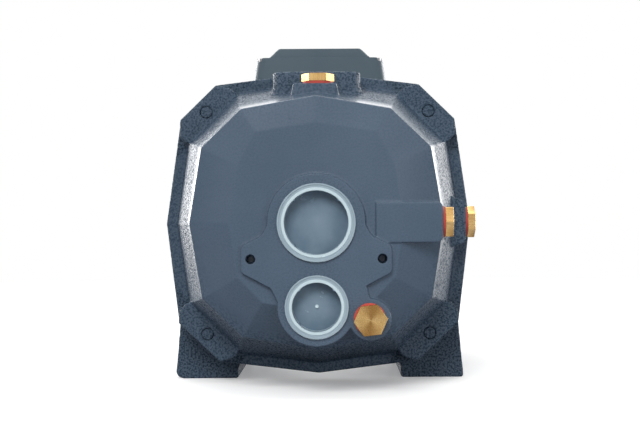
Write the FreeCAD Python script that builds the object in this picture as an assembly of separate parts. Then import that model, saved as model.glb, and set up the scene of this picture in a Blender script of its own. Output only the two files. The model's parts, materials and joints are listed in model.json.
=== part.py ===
import FreeCAD, Part
import math
import os

# Convertible jet pump with a close-coupled motor. Millimetres.
# X is to the right seen from the suction end, Y runs back along the shaft, Z is up.
# The origin is the centre of the four base bolt holes, on the underside of the feet.
# Heights in the outlines below are measured from the shaft's axis.

# Stations along the shaft
shaft_height = 106.0
foot_length = 100.0
foot_setback = 7.2            # bracket face to the front of the feet
gasket_thickness = 0.8
casing_depth = 97.0           # casing flange to the ejector pad
pad_proud = 3.5               # ejector pad above the flat of the face
rim_setback = 15.5            # ejector pad to the edge of the face, at the shaft's height
rim_lean = 0.12               # how much nearer the edge is for each mm of height
lug_setback = 72.0            # ejector pad to the front of the corner lugs
lip_thickness = 12.0
bracket_flange_thickness = 10.0
bracket_length = 52.0
spigot_depth = 8.0
frame_length = 140.0
endshield_thickness = 10.0
cover_length = 54.0

# Casing outlines, right half from the top round to the bottom: across, height, corner radius
flat_outline = (
    (0.0, 60.5), (36.5, 55.0), (47.5, 35.0), (53.2, 0.0), (47.5, -33.0), (33.0, -48.0), (0.0, -54.0),
)
rim_outline = (
    (0.0, 77.1), (45.4, 69.1), (69.9, 45.9), (78.1, 0.0), (71.0, -46.6), (46.4, -70.6), (0.0, -79.0),
)
wall_quarter = ((0.0, 93.4), (54.0, 86.5), (86.5, 54.0), (94.2, 0.0))
flange_outline = (
    (0.0, 100.6), (67.5, 92.2), (91.5, 68.7), (101.3, 0.0), (93.4, -66.0), (66.2, -92.4), (0.0, -100.4),
)
upper_lug = (
    (66.5, 91.0, 1.5), (90.4, 67.8, 1.5), (90.6, 58.0, 3.0), (86.6, 53.4, 3.0),
    (62.0, 44.0, 0.0), (44.0, 62.0, 0.0), (53.6, 86.0, 3.0), (58.2, 88.8, 3.0),
)
lower_lug = (
    (65.2, -91.2, 1.5), (92.2, -65.4, 1.5), (91.6, -57.6, 3.0), (87.6, -53.0, 3.0),
    (62.0, -44.0, 0.0), (44.0, -62.0, 0.0), (53.4, -86.4, 3.0), (57.8, -89.2, 3.0),
)

# Casing walls
casing_wall = 9.0
cavity_outline = ((44.0, 0.0), (68.0, 20.5), (73.0, 29.5), (82.0, 76.5))    # radius, depth
cavity_corner = 3.0
flange_corner = 2.0
overlap = 1.0                  # how far fused shapes run into each other, and cuts run past a face
rabbet_depth = 9.0

# Ports and the ejector pad
suction_pad_radius = 29.7
suction_bore_radius = 20.7
suction_thread_depth = 22.0
suction_passage_radius = 17.5
suction_tube_wall = 8.5
suction_tube_length = 52.0
port_spacing = 50.8
drive_pad_radius = 23.7
drive_bore_radius = 16.2
drive_thread_depth = 24.0
drive_collar_wall = 4.0
ear_span = 79.5
ear_drop = 21.9
ear_hole_radius = 2.85
ear_hole_depth = 9.0
pad_boss_margin = 10.0         # the pad runs back this far past the lowest edge of the face
ear_half_outline = (
    (27.5, 3.0, 6.0), (33.0, -8.0, 8.0), (45.3, -13.9, 3.5),
    (45.3, -30.0, 3.0), (27.6, -39.4, 5.0), (22.0, -50.8, 0.0),
)
drain_web_outline = (
    (18.0, -36.0, 0.0), (30.5, -38.4, 3.0), (31.2, -44.0, 3.5),
    (34.5, -50.0, 0.0), (24.0, -62.0, 3.0), (8.0, -60.0, 0.0),
)

# Discharge port, on top
discharge_radius = 15.2
discharge_height = 96.0
discharge_block_width = 56.0
discharge_block_front = 44.0   # behind the pad
discharge_block_depth = 44.0
discharge_block_corner = 9.0
discharge_thread_length = 15.0
discharge_passage_radius = 13.4
discharge_passage_length = 40.0
discharge_flare = 7.0
discharge_block_drop = 24.0    # top of the block to where its flare ends
discharge_flare_start = 9.0
discharge_flare_inset = 0.5

# Plug seats
plug_thread_radius = 6.58
plug_clearance = 0.06
plug_thread_length = 11.0
plug_flats = 17.9
plug_head_height = 4.9
plug_chamfer = 0.9
washer_radius = 9.6
washer_bore_radius = 7.4
washer_thickness = 1.8
plug_tip_chamfer = 1.2
spot_face_radius = 10.8
spot_face_depth = 7.5
priming_height = 86.2
priming_across = 1.0
priming_setback = 33.3
priming_block_width = 27.0
priming_block_across = -0.6    # the block stands a little left of its plug
priming_block_depth = 23.5
priming_block_flare = 3.4
priming_block_drop = 16.0
priming_block_corner = 2.0
priming_bore_depth = 30.0
vacuum_seat = 76.5
vacuum_setback = 14.0
gauge_block_height = 24.7
vacuum_block_depth = 24.0
vacuum_block_inner = 36.0
vacuum_block_corner = 3.8
vacuum_bore_end = 8.0          # from the shaft's axis, inside the suction tube
vacuum_plug_spin = 30.0
gauge_tube_radius = 10.0
gauge_tube_inner = 20.0
gauge_tube_cover = 10.0        # seat to the tube's outer end
pressure_seat = 96.2
pressure_setback = 74.0
pressure_block_front = 62.5
pressure_block_inner = 70.0
pressure_bore_depth = 40.0
pressure_taper = ((9.0, 4.2, 2.0), (1.0, 1.2, 1.0), (0.0, 0.0, 0.6))    # below the seat, wider by, radius
drain_across = 32.3
drain_drop = 58.5
drain_boss_radius = 12.6
drain_bore_reach = 8.0         # past the back of the pad's boss
drain_plug_spin = 6.0
drain_washer_shift = 0.5       # the drain washer sits a little off centre, up and to the left

# Port caps
cap_flange_proud = 3.0         # beyond the port's bore, all round
cap_flange_thickness = 1.8
cap_clearance = 0.1
cap_wall = 1.3
cap_depth = 9.0
cap_floor = 1.4
cap_nub_radius = 0.9
cap_gate_radius = 1.1
cap_gate_height = 0.8
cap_groove_depth = 0.4
cap_groove_edge = 1.0          # groove to the flange's rim
cap_groove_gap = 0.4           # groove to the tube

# Casing bolts
bolt_spread = 73.0
bolt_radius = 4.0
bolt_flats = 13.0
bolt_head_height = 5.3
bolt_hole_clearance = 0.4
bolt_thread_clearance = 0.04
bolt_tip_recess = 0.4
bolt_chamfer = 0.7
bolt_head_chamfer = 0.8
bolt_head_spin = 15.0

# Motor bracket
spigot_radius = 82.6
spigot_clearance = 0.3
bracket_body_radius = 90.0
bracket_wall = 8.0
bracket_front_wall = 10.0
bracket_rear_wall = 10.0
bracket_rear_radius = 74.0
bracket_rear_ring = 12.0
bracket_fillet = 4.0
bracket_edge = 1.0
window_height = 28.0
window_width = 18.0
window_setback = 5.0
window_inner = 40.0
window_outer = 100.0
seal_hub_radius = 22.0
seal_hub_proud = 4.8
bearing_hub_radius = 27.0
bearing_hub_length = 22.0
foot_half_span = 98.4
foot_inner = 55.4
foot_thickness = 12.0
foot_front_wall = 13.0
foot_corner_left = 4.8
foot_corner_right = 1.2
leg_outline = (
    (95.2, -67.5, 2.0), (84.0, -48.0, 0.0), (50.0, -48.0, 0.0), (50.0, -90.0, 6.0), (55.4, -97.5, 2.0),
)
leg_inner_corner = 1.0
foot_taper = 0.7
foot_top_corner = 3.0
web_width = 6.0
web_top = -70.0
web_inner_inset = 0.8
web_outer_inset = 4.0
web_shoulder = 10.0
web_end_gap = 8.0
base_spacing_across = 154.0
base_spacing_along = 70.0
base_hole_radius = 5.0
base_seat_radius = 10.0
base_seat_height = 10.0
bolt_pocket_radius = 10.5
bolt_pocket_length = 40.0

# Shaft and its bearings
nut_thread_radius = 6.0
seal_shaft_radius = 8.0
front_bearing = {"bore": 8.5, "outer": 20.0, "width": 12.0, "ball": 3.4, "count": 8}
rear_bearing = {"bore": 7.5, "outer": 17.5, "width": 11.0, "ball": 3.0, "count": 8}
bearing_seat_recess = 2.0      # front bearing to the back of the bracket
race_thickness = 3.1
race_clearance = 0.05
cage_thickness = 1.3
cage_margin = 1.8
rotor_seat_radius = 11.0
fan_seat_radius = 7.0
shaft_front_length = 10.0      # thread in front of the impeller hub
shaft_end_length = 4.0         # behind the fan
shaft_chamfer = 0.8
shaft_step = 2.2               # shoulder that each bearing sits against
rotor_taper_front = 7.0
rotor_taper_rear = 6.0
rear_seat_extra = 6.0
front_seat_extra = 2.0
fit_clearance = 0.02           # wheels and rings on the shaft
bearing_lip = 3.0

# Hydraulics
eye_ring_radius = 19.6
running_clearance = 0.1
neck_wall = 2.4
neck_length = 8.0
neck_seal_thickness = 1.2
neck_seal_setback = 2.0
neck_seal_length = 3.5
diffuser_radius = 71.0
diffuser_plate = 3.0
diffuser_vane_width = 3.0
diffuser_vanes = 9
diffuser_vane_gap = 2.0
diffuser_vane_sweep = -28.0
diffuser_vane_bend = 0.55
diffuser_front_gap = 1.0
impeller_radius = 60.0
impeller_gap = 1.5             # diffuser plate to the impeller's front shroud
shroud_thickness = 2.5
vane_passage = 6.0
vane_thickness = 2.4
impeller_vanes = 6
impeller_vane_sweep = -75.0
impeller_vane_bend = 0.62
impeller_hub_nose = 1.0
eye_ring_reach = 5.0           # into the diffuser's neck
impeller_hub_radius = 13.0
impeller_hub_tail = 1.5
eye_radius = 17.0
nut_flats = 19.0
nut_height = 6.0
key_width = 4.0
key_height = 4.0
key_length = 12.0
key_setback = 1.0
key_clearance = 0.05
nut_clearance = 0.03
nut_chamfer = 0.9

# Shaft seal and slinger
seat_outer = 12.6
seat_inner = 9.2
cup_outer = 15.0
seat_length = 9.0
seat_proud = 1.0               # the ceramic face above its cup, and the gap behind it
seal_face_length = 1.5
seal_face_step = 0.6
head_outer = 14.0
head_length = 4.0
spring_wire_radius = 0.8
spring_turns = 3.0
spring_inset = 1.0
seal_hole_radius = 11.0
slinger_radius = 16.0
slinger_thickness = 4.0
slinger_setback = 10.0         # behind the bracket's flange
slinger_collar = 2.5
slinger_length = 6.0

# Motor
frame_bore = 62.0
frame_radius = 66.0
fin_radius = 73.0
fin_thickness = 2.2
fin_step = 9.0
fin_clear_top = 36.0
stator_radius_clearance = 0.05
stator_start = 32.0
stack_length = 80.0
air_gap = 0.3
rotor_radius = 37.2
slot_count = 24
slot_width = 4.6
slot_depth = 15.0
slot_floor = 1.5
winding_clearance = 0.3
end_turn_length = 18.0
end_turn_outer = 56.0
end_ring_outer = 35.0
end_ring_inner = 24.0
end_ring_length = 8.0
ring_blades = 8
ring_blade_length = 6.0
ring_blade_width = 2.0
ring_blade_margins = (2.0, 1.0)    # inner and outer
end_turn_gap = 0.5
end_turn_corners = (4.0, 5.0, 3.0, 2.0)
tie_radius = 67.5
tie_bolt_radius = 2.5
tie_boss_radius = 5.8
tie_flats = 8.0
tie_head_height = 3.6
tie_engagement = 10.0
tie_head_recess = 3.0
tie_head_chamfer = 0.6
tie_end_gap = 1.0
rear_hub_radius = 24.0
rear_hub_length = 12.0
endshield_spigot = 4.0
endshield_radius = 73.9
preload_thickness = 1.4
preload_margins = (0.4, 4.0)    # inside the bearing's outer radius: washer's rim and bore
preload_recess = 2.0
spigot_fit = 0.1
spigot_wall = 6.0
frame_collar = 4.0
fin_end_gap = 8.0
box_pad_drop = 20.0            # the pad reaches this far into the frame's radius
box_pad_margin = 4.0
box_pad_corner = 4.0
shaft_hole_clearance = 0.6

# Fan and its cover
fan_back_disc = 52.0
fan_blade_radius = 60.0
fan_disc_thickness = 2.6
fan_blade_width = 17.0
fan_blade_thickness = 2.0
fan_blades = 9
fan_hub_radius = 13.0
fan_gap = 5.0                  # endshield to the fan
fan_blade_start = 6.0          # beyond the hub
clip_rim = 2.4
clip_clearance = 0.1
clip_opening = 5.0
clip_thickness = 1.2
clip_groove = 1.0
cover_radius = 75.2
cover_sheet = 1.2
cover_corner = 9.0
cover_gap = 1.0                # motor frame to the cover's edge
cover_hole_clearance = 0.25
cover_hole_depth = 5.0
grille_slot = 4.6
grille_pitch = 8.2
grille_first = 14.0
grille_rings = 6
grille_bar = 5.0
grille_bar_angles = (45.0, 135.0)
cover_screw_radius = 2.0
cover_screw_head = 3.6
cover_screw_head_height = 2.4
cover_screw_length = 9.0
cover_screw_end_gap = 0.5

# Terminal box
box_centre_back = 95.0         # bracket's back to the centre of the box
pad_top = 70.0
box_base_height = 29.0
box_half_width = 52.0
box_end_loss = 6.8             # what the box's half length loses compared with its half width
box_lid_overhang = 0.6
box_pad_inset = 17.2           # lid's edge to the edge of the motor's pad
box_corner = 10.0
box_wall = 2.6
box_floor = 3.0
box_gasket_thickness = 1.0
cover_shoulder_height = 25.9
cover_draft = 3.8
cover_corner_loss = 1.0
cover_crown = (                # inset across and along, rise above the shoulder, corner radius
    (13.5, 4.4, -0.5, 4.0), (13.5, 4.4, 0.6, 4.0), (15.5, 4.6, 2.2, 3.5),
    (18.2, 5.0, 4.9, 3.0), (20.7, 5.6, 7.0, 2.5),
)
cover_inside_gap = 0.4
box_screw_inset = 8.0
box_post_radius = 4.6
box_screw_radius = 1.5
box_screw_head_radius = 2.7
box_screw_head_depth = 2.6
box_screw_grip = 14.0
box_screw_end_gap = 1.0
box_screw_head_length = 2.3
box_screw_slot = (0.8, 1.7, 1.0)    # width, half length, depth
thread_clearance = 0.03
hole_clearance = 0.3
lead_hole_radius = 7.0
capacitor_radius = 18.0
capacitor_length = 62.0
capacitor_inset = 27.2         # lid's edge to the capacitor's axis
capacitor_corner = 2.0
capacitor_tag_radius = 1.5
capacitor_tag_length = 5.0
capacitor_tag_offset = 6.0
capacitor_lift = 0.4
clip_strap = 1.2
clip_width = 12.0
clip_foot = 7.0
board_width = 26.0
board_length = 44.0
board_thickness = 4.0
board_inset = 28.2             # lid's edge to the board's centre
board_corner = 2.0
standoff_inset = 4.0
board_standoff = 5.0
standoff_radius = 3.0
stud_radius = 1.9
stud_height = 7.0
stud_nut_flats = 7.0
stud_nut_height = 2.6
stud_pitch = 13.0
stud_nut_chamfer = 0.4
stud_floor = 1.0               # board left under each stud
earth_inset = 20.2             # lid's edge to the earth screw
earth_forward = 33.0
earth_head_height = 2.2
earth_radius = 2.4
earth_head = 4.4
gland_height = 15.0            # above the box's underside
gland_back = 14.0              # behind the box's centre
gland_thread_radius = 8.0
gland_thread_clearance = 0.1
gland_flats = 22.0
gland_hex_length = 5.5
gland_neck_length = 7.0
gland_neck_radius = 7.4
gland_nut_radius = 10.6
gland_nut_length = 14.0
gland_nut_face = 3.0
gland_bore_radius = 5.0
gland_inner_length = 5.0
gland_flute_radius = 1.3
gland_flutes = 12
gland_nut_gap = 0.3
gland_nut_taper = 2.4
gland_neck_clearance = 0.1
gland_bore_clearance = 0.4

# Worked out from the values above
foot_front_y = -foot_length / 2
bracket_front_y = foot_front_y - foot_setback
flange_back_y = bracket_front_y - gasket_thickness
pad_y = flange_back_y - casing_depth
flat_y = pad_y + pad_proud
inner_face_y = flat_y + casing_wall
rim_y = pad_y + rim_setback
lug_y = pad_y + lug_setback
lip_y = flange_back_y - lip_thickness
tube_end_y = pad_y + suction_tube_length
spigot_front_y = bracket_front_y - spigot_depth
bracket_flange_y = bracket_front_y + bracket_flange_thickness
bracket_back_y = bracket_front_y + bracket_length
frame_back_y = bracket_back_y + frame_length
endshield_back_y = frame_back_y + endshield_thickness
cover_back_y = frame_back_y + cover_length
diffuser_plate_y = tube_end_y + diffuser_front_gap
impeller_y = diffuser_plate_y + diffuser_plate + impeller_gap
vane_y = impeller_y + shroud_thickness
back_shroud_y = vane_y + vane_passage
hub_back_y = back_shroud_y + shroud_thickness + impeller_hub_tail
seal_hub_y = spigot_front_y - seal_hub_proud
seat_face_y = seal_hub_y - seat_proud
head_y = seat_face_y - head_length
front_bearing_back_y = bracket_back_y - bearing_seat_recess
front_bearing_y = front_bearing_back_y - front_bearing["width"]
stack_y = bracket_back_y + stator_start
stack_back_y = stack_y + stack_length
preload_back_y = frame_back_y + preload_recess
rear_bearing_back_y = preload_back_y - preload_thickness
rear_bearing_y = rear_bearing_back_y - rear_bearing["width"]
fan_y = endshield_back_y + fan_gap
fan_back_y = fan_y + fan_disc_thickness + fan_blade_width
stator_bore = rotor_radius + air_gap
pad_boss_depth = rim_setback - rim_lean * rim_outline[-1][1] + pad_boss_margin
plug_bore_radius = plug_thread_radius + plug_clearance
box_y = bracket_back_y + box_centre_back
box_bottom = shaft_height + pad_top
box_rim = box_bottom + box_base_height
cover_bottom = box_rim + box_gasket_thickness
cover_shoulder = cover_bottom + cover_shoulder_height
gland_y = box_y + gland_back
gland_z = box_bottom + gland_height
box_half_length = box_half_width - box_end_loss
base_half_width = box_half_width - box_lid_overhang
base_half_length = box_half_length - box_lid_overhang
box_screw_x = box_half_width - box_screw_inset
box_screw_y = box_half_length - box_screw_inset
capacitor_x = capacitor_inset - box_half_width
board_x = box_half_width - board_inset
earth_x = earth_inset - box_half_width
hub_front_y = impeller_y - impeller_hub_nose
key_y = impeller_y + key_setback
tie_seat_y = endshield_back_y - tie_head_recess
drain_bore_depth = pad_boss_depth + drain_bore_reach

x_axis = FreeCAD.Vector(1, 0, 0)
y_axis = FreeCAD.Vector(0, 1, 0)
z_axis = FreeCAD.Vector(0, 0, 1)


def point(across, along, height):
    """A point from its height above the shaft's axis."""
    return FreeCAD.Vector(across, along, shaft_height + height)


def rounded_wire(corners, place):
    """A closed wire through corners (u, v, radius), with arcs that its runs have room for."""
    count = len(corners)
    spots = [place(u, v) for u, v, _ in corners]
    turns = []
    for i, (_, _, radius) in enumerate(corners):
        here = spots[i]
        back = spots[i - 1].sub(here)
        ahead = spots[(i + 1) % count].sub(here)
        room = 0.48 * min(back.Length, ahead.Length)
        half = back.getAngle(ahead) / 2
        reach = min(radius / math.tan(half), room)
        if reach < 1e-4:
            turns.append((here, None, here))
            continue
        back.normalize()
        ahead.normalize()
        fitted = reach * math.tan(half)
        inward = back.add(ahead).normalize()
        middle = here.add(inward * (fitted / math.sin(half) - fitted))
        turns.append((here.add(back * reach), middle, here.add(ahead * reach)))
    edges = []
    for i in range(count):
        start = turns[i - 1][2]
        first, middle, _ = turns[i]
        if start.distanceToPoint(first) > 1e-5:
            edges.append(Part.LineSegment(start, first).toShape())
        if middle is not None:
            edges.append(Part.Arc(*turns[i]).toShape())
    return Part.Wire(edges)


def front_plate(corners, front, back):
    """An outline seen from the front, as a plate between two stations."""
    wire = rounded_wire(corners, lambda u, v: point(u, front, v))
    return Part.Face(wire).extrude(FreeCAD.Vector(0, back - front, 0))


def level_wire(half_width, half_length, corner, centre_y, z):
    """A rounded rectangle lying level."""
    corners = [(-half_width, -half_length, corner), (half_width, -half_length, corner)]
    corners += [(half_width, half_length, corner), (-half_width, half_length, corner)]
    return rounded_wire(corners, lambda u, v: FreeCAD.Vector(u, centre_y + v, z))


def level_block(half_width, half_length, corner, centre_y, bottom, top):
    face = Part.Face(level_wire(half_width, half_length, corner, centre_y, bottom))
    return face.extrude(FreeCAD.Vector(0, 0, top - bottom))


def loft(*wires):
    return Part.makeLoft(list(wires), True, True)


def turned(profile, across=0.0, height=0.0):
    """A solid of revolution about a line along Y, from (radius, station, corner radius) points."""
    corners = [(r, y, c) for r, y, c in profile]
    wire = rounded_wire(corners, lambda u, v: point(across + u, v, height))
    return Part.Face(wire).revolve(point(across, 0, height), y_axis, 360)


def disc(radius, front, back, across=0.0, height=0.0):
    """A cylinder along the shaft's direction, between two stations."""
    return Part.makeCylinder(radius, back - front, point(across, front, height), y_axis)


def ring(outer, inner, front, back, across=0.0, height=0.0):
    return disc(outer, front, back, across, height).cut(disc(inner, front, back, across, height))


def block(x_low, x_high, y_low, y_high, z_low, z_high):
    """A box, its heights from the floor."""
    corner = FreeCAD.Vector(x_low, y_low, z_low)
    return Part.makeBox(x_high - x_low, y_high - y_low, z_high - z_low, corner)


def turn_about_shaft(shape, degrees):
    turned_shape = shape.copy()
    turned_shape.rotate(point(0, 0, 0), y_axis, degrees)
    return turned_shape


def around_shaft(shape, count, first=0.0):
    return [turn_about_shaft(shape, first + i * 360.0 / count) for i in range(count)]


def hexagon(flats, height, z=0.0):
    """A hexagonal prism about Z."""
    reach = flats / 2 / math.cos(math.radians(30))
    corners = []
    for i in range(7):
        angle = math.radians(60 * i)
        corners.append(FreeCAD.Vector(reach * math.cos(angle), reach * math.sin(angle), z))
    return Part.Face(Part.makePolygon(corners)).extrude(FreeCAD.Vector(0, 0, height))


def stand(shape, spot, direction, spin=0.0):
    """Move a shape made about +Z so that it stands on spot and points along direction."""
    moved = shape.copy()
    moved.rotate(FreeCAD.Vector(0, 0, 0), z_axis, spin)
    turn = FreeCAD.Rotation(z_axis, direction)
    moved.Placement = FreeCAD.Placement(spot, turn).multiply(moved.Placement)
    return moved


def chamfered_hexagon(flats, height, chamfer):
    """A bolt or plug head on z = 0, its top corners turned off."""
    reach = flats / 2 / math.cos(math.radians(30))
    cone = Part.makeCone(reach + height, reach - chamfer, height + chamfer, FreeCAD.Vector(0, 0, 0))
    return hexagon(flats, height).common(cone)


def screw(radius, length, head_radius, head_height):
    """A round-headed screw, its seat on z = 0 and its head above."""
    shank = Part.makeCylinder(radius, length, FreeCAD.Vector(0, 0, -length))
    return shank.fuse(Part.makeCylinder(head_radius, head_height))


def full_outline(right_half, radius=0.0):
    """The closed outline from its right half, top to bottom."""
    right = [(x, h, radius) for x, h in right_half]
    left = [(-x, h, radius) for x, h, _ in reversed(right[1:-1])]
    return right + left


def from_quarter(quarter, radius=0.0):
    lower = [(x, -h) for x, h in reversed(quarter[:-1])]
    return full_outline(list(quarter) + lower, radius)


def outline_wire(corners, station):
    return rounded_wire(corners, lambda u, v: point(u, station, v))


def corner_lug(side, outline, front, back):
    corners = [(side * x, h, radius) for x, h, radius in outline]
    return front_plate(corners, front, back)


def bolt_spots():
    return [(sx * bolt_spread, sz * bolt_spread) for sx in (-1, 1) for sz in (-1, 1)]


def tie_spots():
    reach = tie_radius * math.sqrt(0.5)
    return [(sx * reach, sz * reach) for sx in (-1, 1) for sz in (-1, 1)]


def ejector_pad():
    """The raised pad round both ports, with its two ears, and the drain boss beside it."""
    back = pad_y + pad_boss_depth
    right = list(ear_half_outline)
    left = [(-x, h, radius) for x, h, radius in reversed(right)]
    shape = front_plate(right + left, pad_y, back)
    drain = disc(drain_boss_radius, pad_y, back, drain_across, -drain_drop)
    web = front_plate(drain_web_outline, pad_y, back)
    suction = disc(suction_pad_radius, pad_y, back)
    drive = disc(drive_pad_radius, pad_y, back, 0, -port_spacing)
    return shape.fuse([drain, web, suction, drive])


def discharge_boss():
    """The block that the outlet port is bored in, with flared sides where it meets the casing."""
    middle = pad_y + discharge_block_front + discharge_block_depth / 2
    half_width = discharge_block_width / 2
    half_depth = discharge_block_depth / 2
    top = shaft_height + discharge_height
    base = top - discharge_block_drop
    body = level_block(half_width, half_depth, discharge_block_corner, middle, base, top)
    low = level_wire(half_width + discharge_flare, half_depth, discharge_block_corner, middle, base)
    inner_depth = half_depth - discharge_flare_inset
    high = level_wire(half_width, inner_depth, discharge_block_corner, middle, top - discharge_flare_start)
    return body.fuse(loft(low, high))


def priming_boss():
    middle = pad_y + priming_setback
    top = shaft_height + priming_height
    base = top - priming_block_drop
    half_width = priming_block_width / 2
    half_depth = priming_block_depth / 2
    low = level_wire(half_width + priming_block_flare, half_depth, priming_block_corner, middle, base)
    high = level_wire(half_width, half_depth, priming_block_corner, middle, top)
    boss = loft(low, high)
    boss.translate(FreeCAD.Vector(priming_block_across, 0, 0))
    return boss


def vacuum_boss():
    half = gauge_block_height / 2
    front = pad_y + vacuum_setback - vacuum_block_depth / 2
    radius = vacuum_block_corner
    corners = [(vacuum_block_inner, -half, 0.0), (vacuum_seat, -half, radius)]
    corners += [(vacuum_seat, half, radius), (vacuum_block_inner, half, 0.0)]
    return front_plate(corners, front, front + vacuum_block_depth)


def pressure_boss():
    half = gauge_block_height / 2
    corners = [(pressure_block_inner, half + pressure_taper[0][1], 0.0)]
    corners += [(pressure_seat - below, half + wider, radius) for below, wider, radius in pressure_taper]
    corners += [(x, -h, radius) for x, h, radius in reversed(corners)]
    return front_plate(corners, pad_y + pressure_block_front, flange_back_y)


def casing_cavity():
    """The water space: a turned hollow that follows the facetted outside."""
    profile = [(0.0, inner_face_y, 0.0)]
    profile += [(radius, inner_face_y + depth, cavity_corner) for radius, depth in cavity_outline]
    profile += [(cavity_outline[-1][0], flange_back_y, 0.0), (0.0, flange_back_y, 0.0)]
    return turned(profile)


def pump_casing():
    rim = rounded_wire(full_outline(rim_outline), lambda u, v: point(u, rim_y - rim_lean * v, v))
    dome = loft(outline_wire(full_outline(flat_outline), flat_y), rim)
    wall = loft(rim, outline_wire(from_quarter(wall_quarter), lip_y))
    flange = front_plate(full_outline(flange_outline, flange_corner), lip_y, flange_back_y)
    lugs = [corner_lug(side, lug, lug_y, lip_y) for side in (-1, 1) for lug in (upper_lug, lower_lug)]
    bosses = [ejector_pad(), discharge_boss(), priming_boss(), vacuum_boss(), pressure_boss()]
    body = dome.fuse([wall, flange] + lugs + bosses)
    body = body.cut(casing_cavity())
    body = body.fuse(inner_tubes())
    cuts = port_cuts() + plug_bores()
    for x, h in bolt_spots():
        cuts.append(disc(bolt_radius + bolt_thread_clearance, lug_y, flange_back_y, x, h))
    cuts.append(disc(spigot_radius + spigot_clearance, flange_back_y - rabbet_depth, flange_back_y))
    body = body.cut(cuts[0].fuse(cuts[1:]))
    return body.removeSplitter()


def inner_tubes():
    """What stands inside the water space: the suction tube, the drive collar and the vacuum tube."""
    front = inner_face_y - overlap
    shapes = [disc(suction_passage_radius + suction_tube_wall, front, tube_end_y)]
    collar_radius = drive_bore_radius + drive_collar_wall
    shapes.append(disc(collar_radius, front, pad_y + drive_thread_depth, 0, -port_spacing))
    start = point(gauge_tube_inner, pad_y + vacuum_setback, 0)
    length = vacuum_seat - gauge_tube_cover - gauge_tube_inner
    shapes.append(Part.makeCylinder(gauge_tube_radius, length, start, x_axis))
    return shapes


def port_cuts():
    cuts = [disc(suction_bore_radius, pad_y, pad_y + suction_thread_depth)]
    cuts.append(disc(suction_passage_radius, pad_y, tube_end_y))
    cuts.append(disc(neck_bore_radius(), tube_end_y - neck_length - overlap, tube_end_y))
    cuts.append(disc(drive_bore_radius, pad_y, pad_y + drive_thread_depth, 0, -port_spacing))
    for side in (-1, 1):
        across = side * ear_span / 2
        cuts.append(disc(ear_hole_radius, pad_y, pad_y + ear_hole_depth, across, -ear_drop))
    outlet = point(0, pad_y + discharge_block_front + discharge_block_depth / 2, discharge_height)
    cuts.append(Part.makeCylinder(discharge_radius, discharge_thread_length, outlet, -z_axis))
    cuts.append(Part.makeCylinder(discharge_passage_radius, discharge_passage_length, outlet, -z_axis))
    return cuts


def plug_bores():
    """The four plug holes, and the spot face that the vacuum plug's washer needs beside the rim."""
    vacuum_depth = vacuum_seat - vacuum_bore_end
    return [
        Part.makeCylinder(plug_bore_radius, priming_bore_depth, priming_seat(), -z_axis),
        Part.makeCylinder(plug_bore_radius, vacuum_depth, vacuum_seat_point(), -x_axis),
        Part.makeCylinder(plug_bore_radius, pressure_bore_depth, pressure_seat_point(), -x_axis),
        Part.makeCylinder(plug_bore_radius, drain_bore_depth, drain_seat(), y_axis),
        Part.makeCylinder(spot_face_radius, spot_face_depth, vacuum_seat_point(), x_axis),
    ]


def neck_bore_radius():
    return eye_ring_radius + running_clearance + neck_wall + neck_seal_thickness


def priming_seat():
    return point(priming_across, pad_y + priming_setback, priming_height)


def vacuum_seat_point():
    return point(vacuum_seat, pad_y + vacuum_setback, 0)


def pressure_seat_point():
    return point(pressure_seat, pad_y + pressure_setback, 0)


def drain_seat():
    return point(drain_across, pad_y, -drain_drop)


def plug():
    """A hexagon plug standing on its washer: the washer's underside is at z = 0."""
    head = chamfered_hexagon(plug_flats, plug_head_height, plug_chamfer)
    head.translate(FreeCAD.Vector(0, 0, washer_thickness))
    chamfer = plug_tip_chamfer
    length = plug_thread_length - chamfer + washer_thickness
    thread = Part.makeCylinder(plug_thread_radius, length, FreeCAD.Vector(0, 0, chamfer - plug_thread_length))
    tip_start = FreeCAD.Vector(0, 0, -plug_thread_length)
    tip = Part.makeCone(plug_thread_radius - chamfer, plug_thread_radius, chamfer, tip_start)
    return head.fuse([thread, tip]).removeSplitter()


def plug_washer():
    outer = Part.makeCylinder(washer_radius, washer_thickness)
    return outer.cut(Part.makeCylinder(washer_bore_radius, washer_thickness))


def port_cap(bore_radius, height, with_gate):
    """A push-in cap: a flange on the pad, a tube in the port and a recessed floor."""
    tube_radius = bore_radius - cap_clearance
    inner = tube_radius - cap_wall
    front = pad_y - cap_flange_thickness
    back = pad_y + cap_depth
    rim_radius = bore_radius + cap_flange_proud
    cap = disc(rim_radius, front, pad_y, 0, height)
    cap = cap.fuse(disc(tube_radius, pad_y, back, 0, height))
    cap = cap.cut(disc(inner, front, back - cap_floor, 0, height))
    groove_floor = front + cap_groove_depth
    groove_outer = rim_radius - cap_groove_edge
    cap = cap.cut(ring(groove_outer, bore_radius + cap_groove_gap, front, groove_floor, 0, height))
    nub_reach = inner * math.sqrt(0.5)
    nubs = []
    for sx in (-1, 1):
        for sz in (-1, 1):
            level = height + sz * nub_reach
            nubs.append(disc(cap_nub_radius, front, back - cap_floor, sx * nub_reach, level))
    cap = cap.fuse(nubs)
    if with_gate:
        floor_front = back - cap_floor
        cap = cap.fuse(disc(cap_gate_radius, floor_front - cap_gate_height, floor_front, 0, height))
    return cap.removeSplitter()


def casing_bolt():
    """One bolt from the back of the bracket flange to the front of a lug, head towards +Z."""
    length = bracket_flange_y - lug_y - bolt_tip_recess
    shank = Part.makeCylinder(bolt_radius, length - bolt_chamfer, FreeCAD.Vector(0, 0, bolt_chamfer - length))
    tip = Part.makeCone(bolt_radius - bolt_chamfer, bolt_radius, bolt_chamfer, FreeCAD.Vector(0, 0, -length))
    head = chamfered_hexagon(bolt_flats, bolt_head_height, bolt_head_chamfer)
    return head.fuse([shank, tip]).removeSplitter()


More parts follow.
